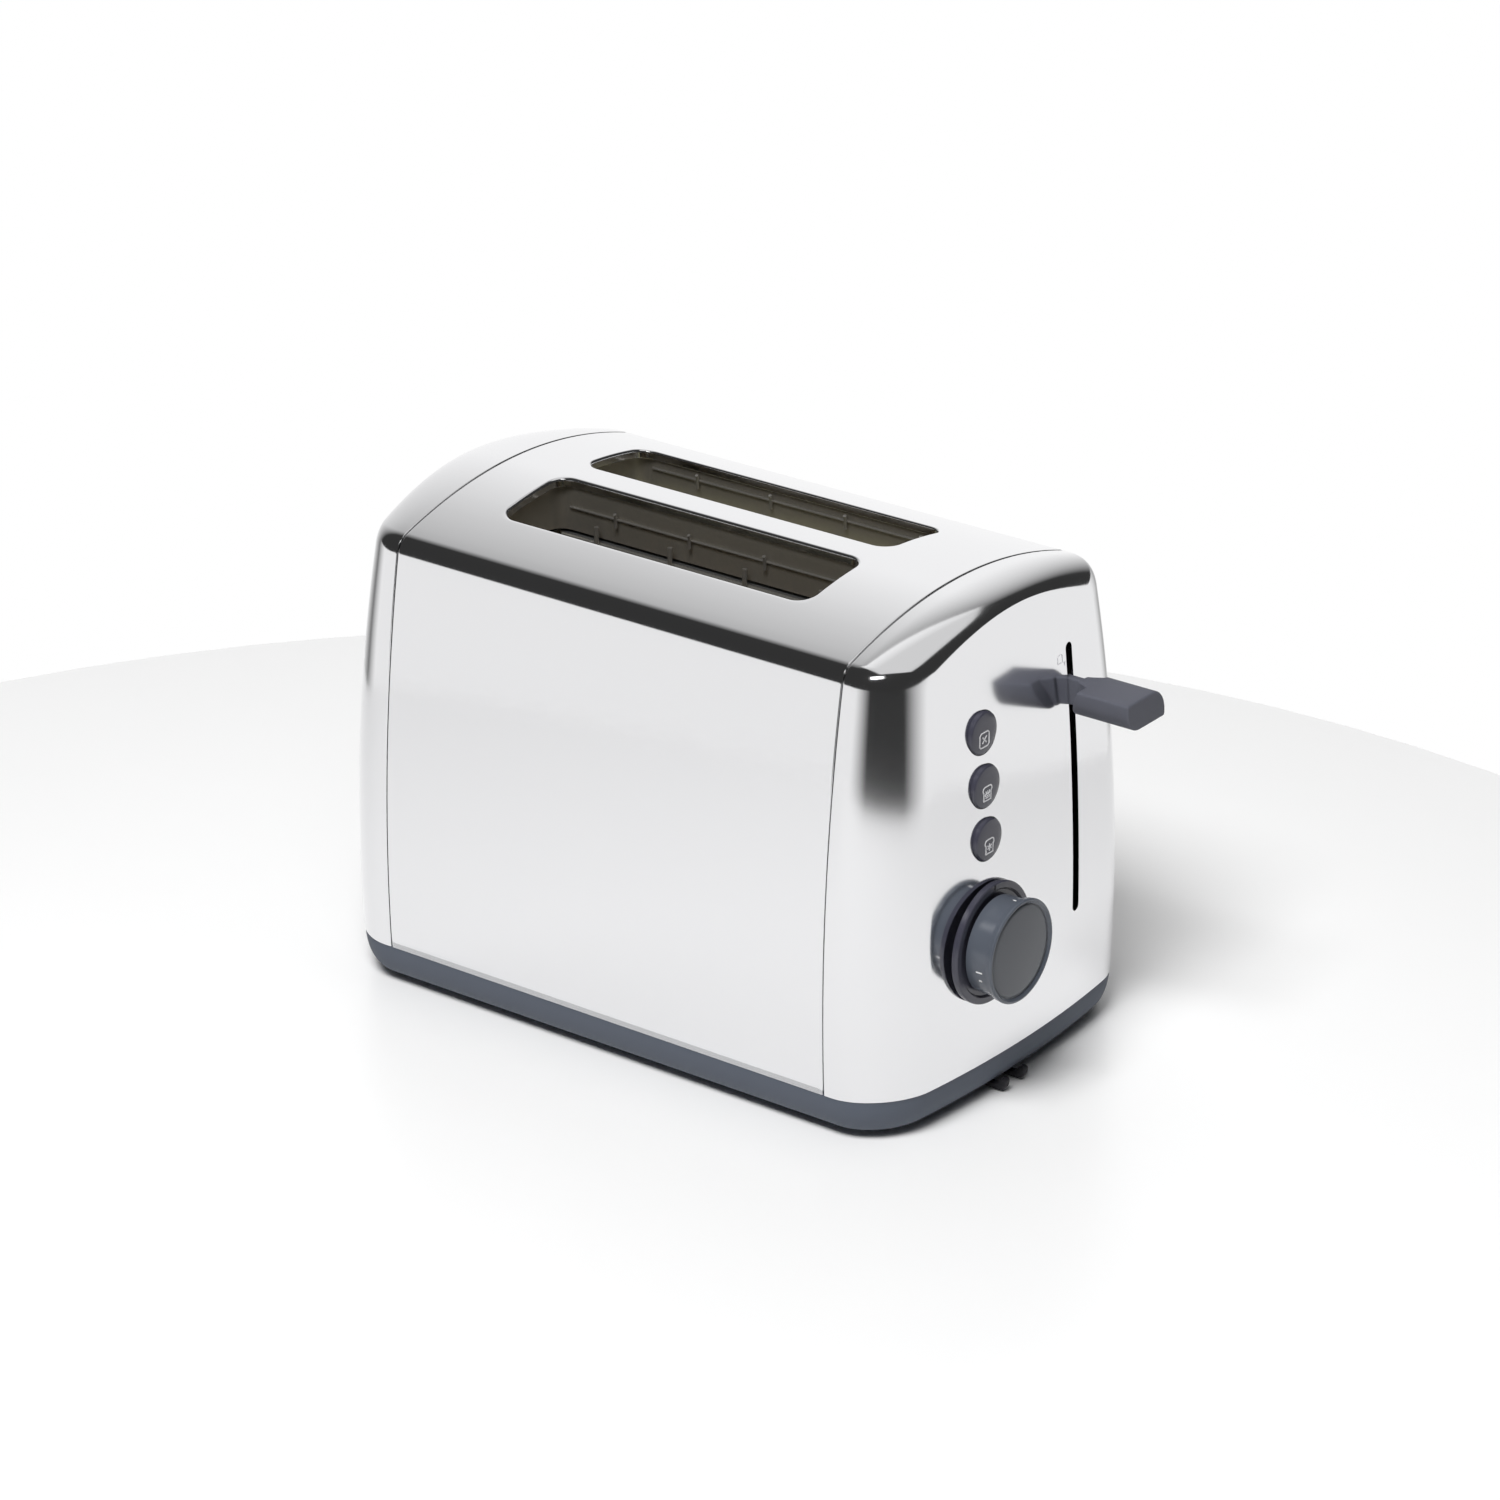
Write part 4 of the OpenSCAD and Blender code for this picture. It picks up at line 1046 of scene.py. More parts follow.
@dataclass
class Base:
    """The moulded base with its tucked-in underside, vents, feet, cord clip and tray front."""

    form: Form
    floor_t: float = 2.4 * MM
    taper: float = 8 * MM
    rim: float = 0.3 * MM
    lip_set: float = 2.5 * MM

    @property
    def under(self) -> float:
        """Height of the underside."""
        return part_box("base")[0][2]

    def _plan(self, inset: float, z: float) -> Ring:
        """The outline of the base in plan.

        Args:
            inset: How far it is drawn in from the steel.
            z: Its height.

        Returns:
            The closed ring.
        """
        form = self.form
        y0 = form.side_y(form.foot) - form.cap_side
        x0 = form.half_l - form.cap_r
        quarter: list[tuple[float, float]] = []
        for i in range(19):
            a = math.radians(5 * i)
            y = y0 + (form.cap_side - inset) * math.cos(a)
            back = (form.lean(form.foot) + form.bow(y)) * math.sin(a)
            quarter.append((x0 + (form.cap_r - inset) * math.sin(a) - back, y))
        flat = [y0 * (1 - i / 6) for i in range(1, 12)]
        end = quarter + [(form.half_l - form.lean(form.foot) - inset - form.bow(y), y) for y in flat]
        end += [(x, -y) for x, y in reversed(quarter)]
        plan = end + [(-x, -y) for x, y in end]
        return [Vector((form.middle + x, y, z)) for x, y in plan]

    def draft(self) -> Draft:
        """Lays out the tub, from the middle of its underside round the rim to its inside."""
        form, low = self.form, self.under
        rise = form.foot - low
        steps = [(low, self.taper + 2.0 * MM)]
        for i in range(13):
            a = math.radians(90 * (1 - i / 12))
            steps.append((form.foot - rise * math.sin(a),
                          self.rim + (self.taper - self.rim) * (1 - math.cos(a))))
        steps += [(form.foot, self.rim + 0.4 * MM), (form.foot, self.lip_set)]
        steps += [(form.foot + 4 * MM, self.lip_set), (form.foot + 4 * MM, self.lip_set + 1.6 * MM)]
        steps += [(form.foot - 2 * MM, self.lip_set + 1.6 * MM), (low + 6 * MM, 5.4 * MM)]
        steps += [(low + self.floor_t, self.taper + self.floor_t)]
        return Draft().loft([self._plan(inset, z) for z, inset in steps], True, True, True)

    def build(self, repeat: Repeat) -> None:
        """Makes the base and everything on it.

        Args:
            repeat: The tree that sets out copies.
        """
        form = self.form
        obj = place("base_tub", self.draft().mesh("base_tub"), "slate_plastic", 35.0)
        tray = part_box("crumb_tray")
        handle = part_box("crumb_tray_handle")
        half = handle[1][1] + 0.4 * MM
        mouth = slab([Vector((x, y, tray[0][2] - 0.4 * MM)) for x, y in (
            (handle[0][0] - 10 * MM, -half), (handle[1][0] + 18 * MM, -half),
            (handle[1][0] + 18 * MM, half), (handle[0][0] - 10 * MM, half))], Vector((0, 0, 7.6 * MM)))
        vents = []
        for i in range(-4, 5):
            for side in (-1, 1):
                x = form.middle - 5 * MM + i * 14 * MM
                ends = [(x, side * 12 * MM), (x, side * 40 * MM)]
                vents.append(self._vent(ends, 2 * MM))
        carve(obj, joined(mouth, *vents))
        obj.data.shade_smooth()
        obj.data.set_sharp_from_angle(angle=math.radians(35))
        settle(obj, "housing", "slate_plastic", "base")
        self._tray_front(handle)
        self._feet(repeat)
        self._clip()

    def _vent(self, ends: Sequence[tuple[float, float]], radius: float) -> Draft:
        """A slot with round ends through the floor.

        Args:
            ends: X and Y of its two centres.
            radius: Its half width.

        Returns:
            The shape to take away.
        """
        (x, y0), (_, y1) = sorted(ends, key=lambda e: e[1])
        outline = arc((x, y1), radius, 0, 180, 8) + arc((x, y0), radius, 180, 360, 8)
        low = self.under
        return slab([Vector((px, py, low - 1 * MM)) for px, py in outline],
                    Vector((0, 0, self.floor_t + 2 * MM)))

    def _tray_front(self, box: tuple[Vector, Vector]) -> None:
        """The rounded grip that closes the crumb tray's mouth.

        Args:
            box: Lowest and highest corner of its CAD node.
        """
        low, high = Vector(box[0]), Vector(box[1])
        half_y, half_z = (high.y - low.y) / 2 - 0.2 * MM, (high.z - low.z) / 2
        centre_z = (high.z + low.z) / 2
        r = 2.2 * MM
        rings: list[Ring] = []
        for x, inset in ((high.x, 0.0), (low.x + r, 0.0), (low.x + 0.7 * r, 0.12 * r),
                         (low.x + 0.3 * r, 0.35 * r),
                         (low.x + 0.08 * r, 0.65 * r), (low.x, r)):
            ring = []
            for cy, cz, start in ((1, 1, 0), (-1, 1, 90), (-1, -1, 180), (1, -1, 270)):
                corner = (cy * (half_y - r), cz * (half_z - r))
                ring += [Vector((x, y, centre_z + z))
                         for y, z in arc(corner, r - inset * 0.9, start, start + 90, 6)]
            rings.append(ring)
        obj = place("tray_front", Draft().loft(rings, True, True, True).mesh("tray_front"), "slate_plastic")
        settle(obj, "tray", "slate_plastic", "crumb_tray_handle")

    def _feet(self, repeat: Repeat) -> None:
        """Four rubber feet with rounded edges and a recessed middle.

        Args:
            repeat: The tree that sets out copies.
        """
        low, high = (Vector(c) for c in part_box("rubber_feet"))
        r, h = 8 * MM, high.z - low.z
        edge = 0.8 * MM
        profile = [(0.0, 0.5 * MM), (r - 3.2 * MM, 0.5 * MM), (r - 2.6 * MM, 0.0), (r - edge, 0.0)]
        profile += [(r - edge + px, edge + pz) for px, pz in arc((0, 0), edge, -70, 0, 4)]
        profile += [(r, h), (0.0, h)]
        unit = lathe(profile, Vector((0, 0, 0)), Vector((0, 0, 1)), 40)
        pair = joined(unit, shifted(unit, Vector((0, high.y - low.y - 2 * r, 0))))
        obj = repeat("foot_pads", pair, "black_rubber", 2, Vector((low.x + r, low.y + r, 0)),
                     Vector((high.x - low.x - 2 * r, 0, 0)))
        settle(obj, "housing", "black_rubber", "rubber_feet")

    def _clip(self) -> None:
        """Two hooked fins under the front edge that hold a folded lead."""
        low, high = (Vector(c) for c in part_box("cord_clip"))
        under = self.under
        outline = [(low.x, under), (low.x + 2 * MM, low.z + 0.2 * MM), (high.x - 3 * MM, low.z)]
        outline += [(high.x - 1.4 * MM, low.z + 0.5 * MM), (high.x - 0.3 * MM, under), (high.x, 5.2 * MM)]
        outline += [(high.x - 0.8 * MM, 6 * MM), (high.x - 2.4 * MM, 5.9 * MM), (high.x - 4 * MM, 3.6 * MM)]
        outline += [(high.x - 5.5 * MM, under)]
        fins = []
        for y in (low.y, high.y - 3 * MM):
            fins.append(slab([Vector((x, y, z)) for x, z in outline], Vector((0, 3 * MM, 0))))
        obj = place("clip_fins", joined(*fins).mesh("clip_fins"), "black_plastic")
        soften(obj, 0.5 * MM)
        settle(obj, "housing", "black_plastic", "cord_clip")


def shifted(draft: Draft, by: Vector) -> Draft:
    """A copy of a draft, moved.

    Args:
        draft: The draft to copy.
        by: The move.

    Returns:
        The moved copy.
    """
    return Draft([v + by for v in draft.verts], list(draft.faces))


def soften(obj: bpy.types.Object, width: float, segments: int = 2) -> None:
    """Rounds an object's sharp edges.

    Args:
        obj: The object.
        width: Width of the rounding.
        segments: Steps across it.
    """
    bevel = obj.modifiers.new("edge", "BEVEL")
    bevel.width = width
    bevel.segments = segments
    bevel.limit_method = "ANGLE"
    applied(obj)
    obj.data.shade_smooth()
    obj.data.set_sharp_from_angle(angle=math.radians(40))


# ---------------------------------------------------------------- controls


@dataclass
class Controls:
    """Lever knob, buttons with their icons, dial with its marks, and the cord gland."""

    form: Form
    lever_width: float = 4.4 * MM
    knob_edge: float = 1.2 * MM
    knob_round: tuple[float, float] = (8.5 * MM, 9.5 * MM)
    proud: float = 0.12 * MM

    def openings(self) -> Draft:
        """The shapes of the openings in the front cap."""
        form = self.form
        x0, depth = form.middle + form.seam_x + form.cap_depth / 2, 40 * MM
        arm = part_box("lever_arm")
        y = (arm[0][1] + arm[1][1]) / 2
        half = self.lever_width / 2
        low, high = self.lever_range()
        outline = arc((y, high - half), half, 0, 180, 12) + arc((y, low + half), half, 180, 360, 12)
        shapes = [slab([Vector((x0, py, pz)) for py, pz in outline], Vector((depth, 0, 0)))]
        for name in ("cancel_button", "reheat_button", "defrost_button"):
            centre, radius = disc(name)
            shapes.append(lathe([(radius + 0.3 * MM, 0), (radius + 0.3 * MM, depth)],
                                Vector((x0, centre.y, centre.z)), Vector((1, 0, 0)), 64))
        centre, radius = disc("dial_ring")
        shapes.append(lathe([(radius - 4 * MM, 0), (radius - 4 * MM, depth)],
                            Vector((x0, centre.y, centre.z)),
                            Vector((1, 0, 0)), 72))
        return joined(*shapes)

    def lever_range(self) -> tuple[float, float]:
        """Lowest and highest point of the lever's slot, from the lever joint's limits."""
        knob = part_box("lever_knob")
        mid = (knob[0][2] + knob[1][2]) / 2
        joint = next(j for j in frame["record"]["behaviour"]["joints"] if j["name"] == "lever_slide")
        low, high = joint["range_m"]
        stem = 6 * MM
        return mid - stem + low - 2.5 * MM, mid + stem + high + 1.5 * MM

    def build(self, repeat: Repeat) -> None:
        """Makes every control.

        Args:
            repeat: The tree that sets out copies.
        """
        self._knob()
        self._buttons()
        self._dial(repeat)
        self._gland()
        self._slot_mark()

    def _knob_ring(self, x: Callable[[float], float], inset: float) -> Ring:
        """The knob's outline: a flat top and underside, two crisp corners and two round ones.

        Args:
            x: Gives X for a height over the knob's middle.
            inset: How far the outline is drawn in.

        Returns:
            The closed ring.
        """
        low, high = (Vector(c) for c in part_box("lever_knob"))
        mid_y, mid_z = (low.y + high.y) / 2, (low.z + high.z) / 2
        half_w, half_h = (high.y - low.y) / 2, (high.z - low.z) / 2
        ring: Ring = []
        crisp = (self.knob_edge, self.knob_edge)
        for sy, sz, (ry, rz), start in ((1, 1, self.knob_round, 0), (-1, 1, crisp, 90),
                                        (-1, -1, self.knob_round, 180), (1, -1, crisp, 270)):
            wide, tall = max(ry - inset, 0.1 * MM), max(rz - inset, 0.1 * MM)
            for c, q in arc((0, 0), 1.0, start, start + 90, 12):
                z = sz * (half_h - rz) + tall * q
                ring.append(Vector((x(z), mid_y + sy * (half_w - ry) + wide * c, mid_z + z)))
        return ring

    def _knob(self) -> None:
        """The lever knob with its slanted back and its neck."""
        low, high = (Vector(c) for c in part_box("lever_knob"))
        half_h = (high.z - low.z) / 2
        top_l, under_l = 22.5 * MM, 27 * MM

        def back(z: float) -> float:
            """X of the knob's slanted back at a height."""
            share = (half_h - z) / (2 * half_h)
            return high.x - top_l - (under_l - top_l) * share

        r = 0.9 * MM
        rings = [self._knob_ring(back, 1.0 * MM)]
        rings.append(self._knob_ring(lambda z: back(z) + 0.3 * MM, 0.3 * MM))
        rings.append(self._knob_ring(lambda z: back(z) + 1.0 * MM, 0.0))
        rings.append(self._knob_ring(lambda z: high.x - r - 2 * MM, 0.0))
        for i in range(6):
            a = math.radians(18 * i)
            rings.append(self._knob_ring(lambda z, a=a: high.x - r * (1 - math.sin(a)),
                                         r * (1 - math.cos(a))))
        knob = Draft().loft(rings, True, True, True)
        mid = (low + high) / 2
        wall = self.form.face_x(mid.y, mid.z)
        proud = self.form.face_x(mid.y, self.form.belly)
        stem = [(wall - 9 * MM, 1.75 * MM, 5.35 * MM), (proud + 0.7 * MM, 1.75 * MM, 5.35 * MM),
                (proud + 1.2 * MM, 3.2 * MM, 5.5 * MM), (proud + 3 * MM, 3.8 * MM, 5.6 * MM),
                (proud + 8 * MM, 7 * MM, 5.6 * MM)]
        sleeve = Draft().loft([self._plate(Vector((x, mid.y, mid.z)), w, h) for x, w, h in stem],
                              True, True, True)
        obj = place("lever_grip", joined(knob, sleeve).mesh("lever_grip"), "lever_plastic", 30.0)
        settle(obj, "carriage", "lever_plastic", "lever_knob")

    def _plate(self, centre: Vector, half_w: float, half_h: float) -> Ring:
        """A rectangle with rounded corners, across the X axis.

        Args:
            centre: Its centre.
            half_w: Half its width.
            half_h: Half its height.

        Returns:
            The closed ring.
        """
        r = 0.8 * MM
        ring: Ring = []
        for sy, sz, start in ((1, 1, 0), (-1, 1, 90), (-1, -1, 180), (1, -1, 270)):
            for y, z in arc((sy * (half_w - r), sz * (half_h - r)), r, start, start + 90, 5):
                ring.append(centre + Vector((0, y, z)))
        return ring

    def _buttons(self) -> None:
        """Three round buttons with a soft edge and a fine icon each."""
        icons = {"cancel": cross_icon(), "reheat": slice_icon(coil_lines()),
                 "defrost": slice_icon(flake_lines())}
        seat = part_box("button_housing")[1][0] + 1.8 * MM
        for body, strokes in icons.items():
            centre, radius = disc(f"{body}_button")
            low, high = (Vector(c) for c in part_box(f"{body}_button"))
            r = 0.9 * MM
            profile = [(0.0, low.x), (4 * MM, low.x), (4 * MM, seat), (radius, seat)]
            profile += [(radius - r + px, high.x - 0.25 * MM - r + pz) for px, pz in arc((0, 0), r, 0, 75, 5)]
            profile += [(radius * 0.55, high.x - 0.06 * MM), (0.0, high.x)]
            axis_at = Vector((0, centre.y, centre.z))
            obj = place(f"{body}_cap", lathe(profile, axis_at, Vector((1, 0, 0)), 72).mesh(body),
                        "button_plastic")
            settle(obj, body, "button_plastic", f"{body}_button")
            face = Vector((high.x - 0.16 * MM, centre.y - 0.4 * MM, centre.z - 2.2 * MM))
            grow = 1.15 * MM
            lines = [tube([face + Vector((0, u * grow, v * grow)) for u, v in stroke], 0.34 * MM, 6)
                     for stroke in strokes]
            mark = place(f"{body}_icon", joined(*lines).mesh(f"{body}_icon"), "grey_mark")
            settle(mark, body, "button_plastic")

    def _dial(self, repeat: Repeat) -> None:
        """The fixed ring, the turned dial with its raised rim, and the marks on its skirt.

        Args:
            repeat: The tree that sets out copies.
        """
        centre, ring_r = disc("dial_ring")
        ring_low, ring_high = (Vector(c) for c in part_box("dial_ring"))
        low, high = (Vector(c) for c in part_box("browning_dial"))
        face_back = self.form.face_x(centre.y, centre.z)
        axis_at, along = Vector((0, centre.y, centre.z)), Vector((1, 0, 0))
        front, r = ring_high.x, 0.7 * MM
        ring = [(ring_r - 7.5 * MM, ring_low.x), (ring_r - 4.4 * MM, ring_low.x),
                (ring_r - 4.4 * MM, face_back)]
        ring += [(ring_r - 0.1 * MM, face_back + 0.1 * MM)]
        ring += [(ring_r - r + px, front - r + pz) for px, pz in arc((0, 0), r, 0, 90, 5)]
        ring += [(ring_r - 2.6 * MM, front), (ring_r - 3.4 * MM, front - 0.9 * MM),
                 (ring_r - 7.5 * MM, front - 0.9 * MM)]
        ring += [(ring_r - 7.5 * MM, ring_low.x)]
        obj = place("dial_flange", lathe(ring, axis_at, along, 96).mesh("dial_flange"),
                    "button_plastic", 38.0)
        settle(obj, "housing", "button_plastic", "dial_ring")
        _, rim = disc("browning_dial")
        skirt = rim - 1.5 * MM
        end = high.x
        turned = [(0.0, low.x), (skirt, low.x), (skirt, end - 3.6 * MM), (rim - 0.3 * MM, end - 3.0 * MM)]
        turned += [(rim - 0.8 * MM + px, end - 1.0 * MM + pz)
                   for px, pz in arc((0, 0), 0.8 * MM, -30, 110, 8)]
        turned += [(rim - 1.7 * MM, end - 1.0 * MM), (rim - 2.1 * MM, end - 1.3 * MM)]
        body = place("dial_body", lathe(turned + [(rim - 2.3 * MM, end - 1.3 * MM), (0.0, end - 1.3 * MM)],
                                        axis_at, along, 96).mesh("dial_body"), "dial_plastic", 38.0)
        settle(body, "dial", "dial_plastic", "browning_dial")
        cap_r = rim - 2.15 * MM
        dome = [(0.0, end - 2 * MM), (cap_r, end - 2 * MM), (cap_r, end - 1.25 * MM),
                (cap_r - 0.25 * MM, end - 1.0 * MM)]
        dome += [(cap_r * (1 - i / 10), end - 0.95 * MM + 0.9 * MM * (1 - (1 - i / 10) ** 2))
                 for i in range(1, 11)]
        lid = place("dial_face", lathe(dome, axis_at, along, 96).mesh("dial_face"), "dial_face", 38.0)
        settle(lid, "dial", "dial_plastic")
        self._dial_marks(repeat, axis_at, skirt, low.x, end)
        notch = slab([Vector((front - 0.02 * MM, centre.y + y * MM, centre.z + ring_r - 2.3 * MM + z * MM))
                      for y, z in ((-0.4, 0), (0.4, 0), (0.4, 1.8), (-0.4, 1.8))], Vector((self.proud, 0, 0)))
        mark = place("dial_flange_mark", notch.mesh("dial_flange_mark"), "black_plastic")
        settle(mark, "housing", "button_plastic")

    def _dial_marks(self, repeat: Repeat, axis_at: Vector, skirt: float, back: float, end: float) -> None:
        """White lines and dots on the skirt, and the pointer on its top.

        Args:
            repeat: The tree that sets out copies.
            axis_at: A point on the dial's axis.
            skirt: Radius of the skirt.
            back: X of the dial's back.
            end: X of the dial's face.
        """
        mid = (back + end - 3.6 * MM) / 2 + 1.4 * MM
        line = pill(Vector((mid, 0, skirt)), 1.1 * MM, 0.3 * MM)
        dot = pill(Vector((mid, 0, skirt)), 0.3 * MM, 0.42 * MM)
        step = math.radians(24)
        for name, unit, count, first in (("dial_lines", line, 5, 100), ("dial_dots", dot, 5, 112)):
            start = turned_x(unit, math.radians(first))
            obj = repeat(name, start, "white_mark", count, axis_at, Vector((0, 0, 0)),
                         Vector((2 * step, 0, 0)))
            settle(obj, "dial", "dial_plastic")
        pointer = turned_x(pill(Vector((end - 4.6 * MM, 0, skirt)), 0.9 * MM, 0.35 * MM), math.radians(-6))
        obj = repeat("dial_pointer", pointer, "white_mark", 1, axis_at, Vector((0, 0, 0)))
        settle(obj, "dial", "dial_plastic")

    def _gland(self) -> None:
        """The rubber gland on the rear face."""
        low, high = (Vector(c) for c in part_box("cord_gland"))
        centre = (low + high) / 2
        outer, bore = (high.y - low.y) / 2, 3.6 * MM
        r = 0.8 * MM
        profile = [(bore, high.x - low.x), (bore, 0.6 * MM), (bore + 0.6 * MM, 0.0), (outer - r, 0.0)]
        profile += [(outer - r + px, r + pz) for px, pz in arc((0, 0), r, -70, 0, 4)]
        profile += [(outer, 2.0 * MM), (outer - 1.7 * MM, 2.2 * MM), (outer - 1.7 * MM, high.x - low.x)]
        profile += [(bore, high.x - low.x)]
        obj = place("lead_gland", lathe(profile, Vector((low.x, centre.y, centre.z)), Vector((1, 0, 0)), 48)
                    .mesh("lead_gland"), "black_rubber", 38.0)
        settle(obj, "housing", "black_rubber", "cord_gland")

    def _slot_mark(self) -> None:
        """The small printed sign beside the top of the lever slot: a slice and an upward stroke."""
        y0, z0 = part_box("lever_arm")[0][1] - 5.6 * MM, self.lever_range()[1] - 4.5 * MM
        strokes = [
            [(-1.6, -1.5), (-1.6, 1.0), (-1.0, 1.7), (1.0, 1.7), (1.6, 1.0), (1.6, -1.5), (-1.6, -1.5)],
            [(2.9, -3.4), (2.9, -1.6)], [(2.4, -2.2), (2.9, -1.6), (3.4, -2.2)],
        ]
        lines = []
        for stroke in strokes:
            path = [Vector((self.form.face_x(y0 + u * MM, z0 + v * MM) + 0.02 * MM, y0 + u * MM, z0 + v * MM))
                    for u, v in stroke]
            lines.append(tube(path, 0.13 * MM, 6))
        obj = place("lever_sign", joined(*lines).mesh("lever_sign"), "grey_mark")
        settle(obj, "housing", "button_plastic")


def disc(node: str) -> tuple[Vector, float]:
    """Centre and radius of a CAD node that is round about X.

    Args:
        node: The node's name.

    Returns:
        Its centre and its radius.
    """
    low, high = (Vector(c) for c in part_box(node))
    return (low + high) / 2, (high.z - low.z) / 2


def pill(centre: Vector, half: float, radius: float) -> Draft:
    """A flat stroke along X that stands a little proud of a skirt.

    Args:
        centre: Its centre.
        half: Half its length without the ends.
        radius: Half its width.

    Returns:
        The stroke.
    """
    outline = arc((half, 0), radius, -90, 90, 6) + arc((-half, 0), radius, 90, 270, 6)
    sunk = Vector((0, 0, -0.3 * MM))
    base = [centre + sunk + Vector((x, y, 0)) for x, y in outline]
    return Draft().loft([base, [p - sunk + Vector((0, 0, 0.06 * MM)) for p in base]], True, True, True)


def turned_x(draft: Draft, angle: float) -> Draft:
    """A copy of a draft, turned about the X axis.

    Args:
        draft: The draft to copy.
        angle: The turn in radians.

    Returns:
        The turned copy.
    """
    turn = Matrix.Rotation(angle, 3, "X")
    return Draft([turn @ v for v in draft.verts], list(draft.faces))


Stroke = list[tuple[float, float]]


def cross_icon() -> list[Stroke]:
    """A cross in a square with cut corners."""
    s, c = 2.5, 0.7
    frame_line = [(-s + c, -s), (s - c, -s), (s, -s + c), (s, s - c), (s - c, s), (-s + c, s), (-s, s - c),
                  (-s, -s + c), (-s + c, -s)]
    return [frame_line, [(-1.1, -1.1), (1.1, 1.1)], [(-1.1, 1.1), (1.1, -1.1)]]


def slice_icon(inner: list[Stroke]) -> list[Stroke]:
    """A slice of bread with strokes inside it.

    Args:
        inner: The strokes inside.

    Returns:
        All strokes.
    """
    crust = [(-1.9, -2.4), (1.9, -2.4), (1.9, 0.6), *arc((1.3, 1.3), 1.1, -50, 90, 5),
             *arc((-1.3, 1.3), 1.1, 90, 230, 5),
             (-1.9, 0.6), (-1.9, -2.4)]
    return [crust, *inner]


def coil_lines() -> list[Stroke]:
    """Three rising waves."""
    return [[(x + 0.35 * math.sin(i * 1.2), -1.6 + i * 0.3) for i in range(9)] for x in (-0.9, 0.0, 0.9)]


def flake_lines() -> list[Stroke]:
    """A six-armed snow star."""
    arms = [math.radians(30 + 60 * i) for i in range(3)]
    return [[(1.2 * math.cos(a), -0.3 + 1.2 * math.sin(a)), (-1.2 * math.cos(a), -0.3 - 1.2 * math.sin(a))]
            for a in arms]


# ---------------------------------------------------------------- bread wells


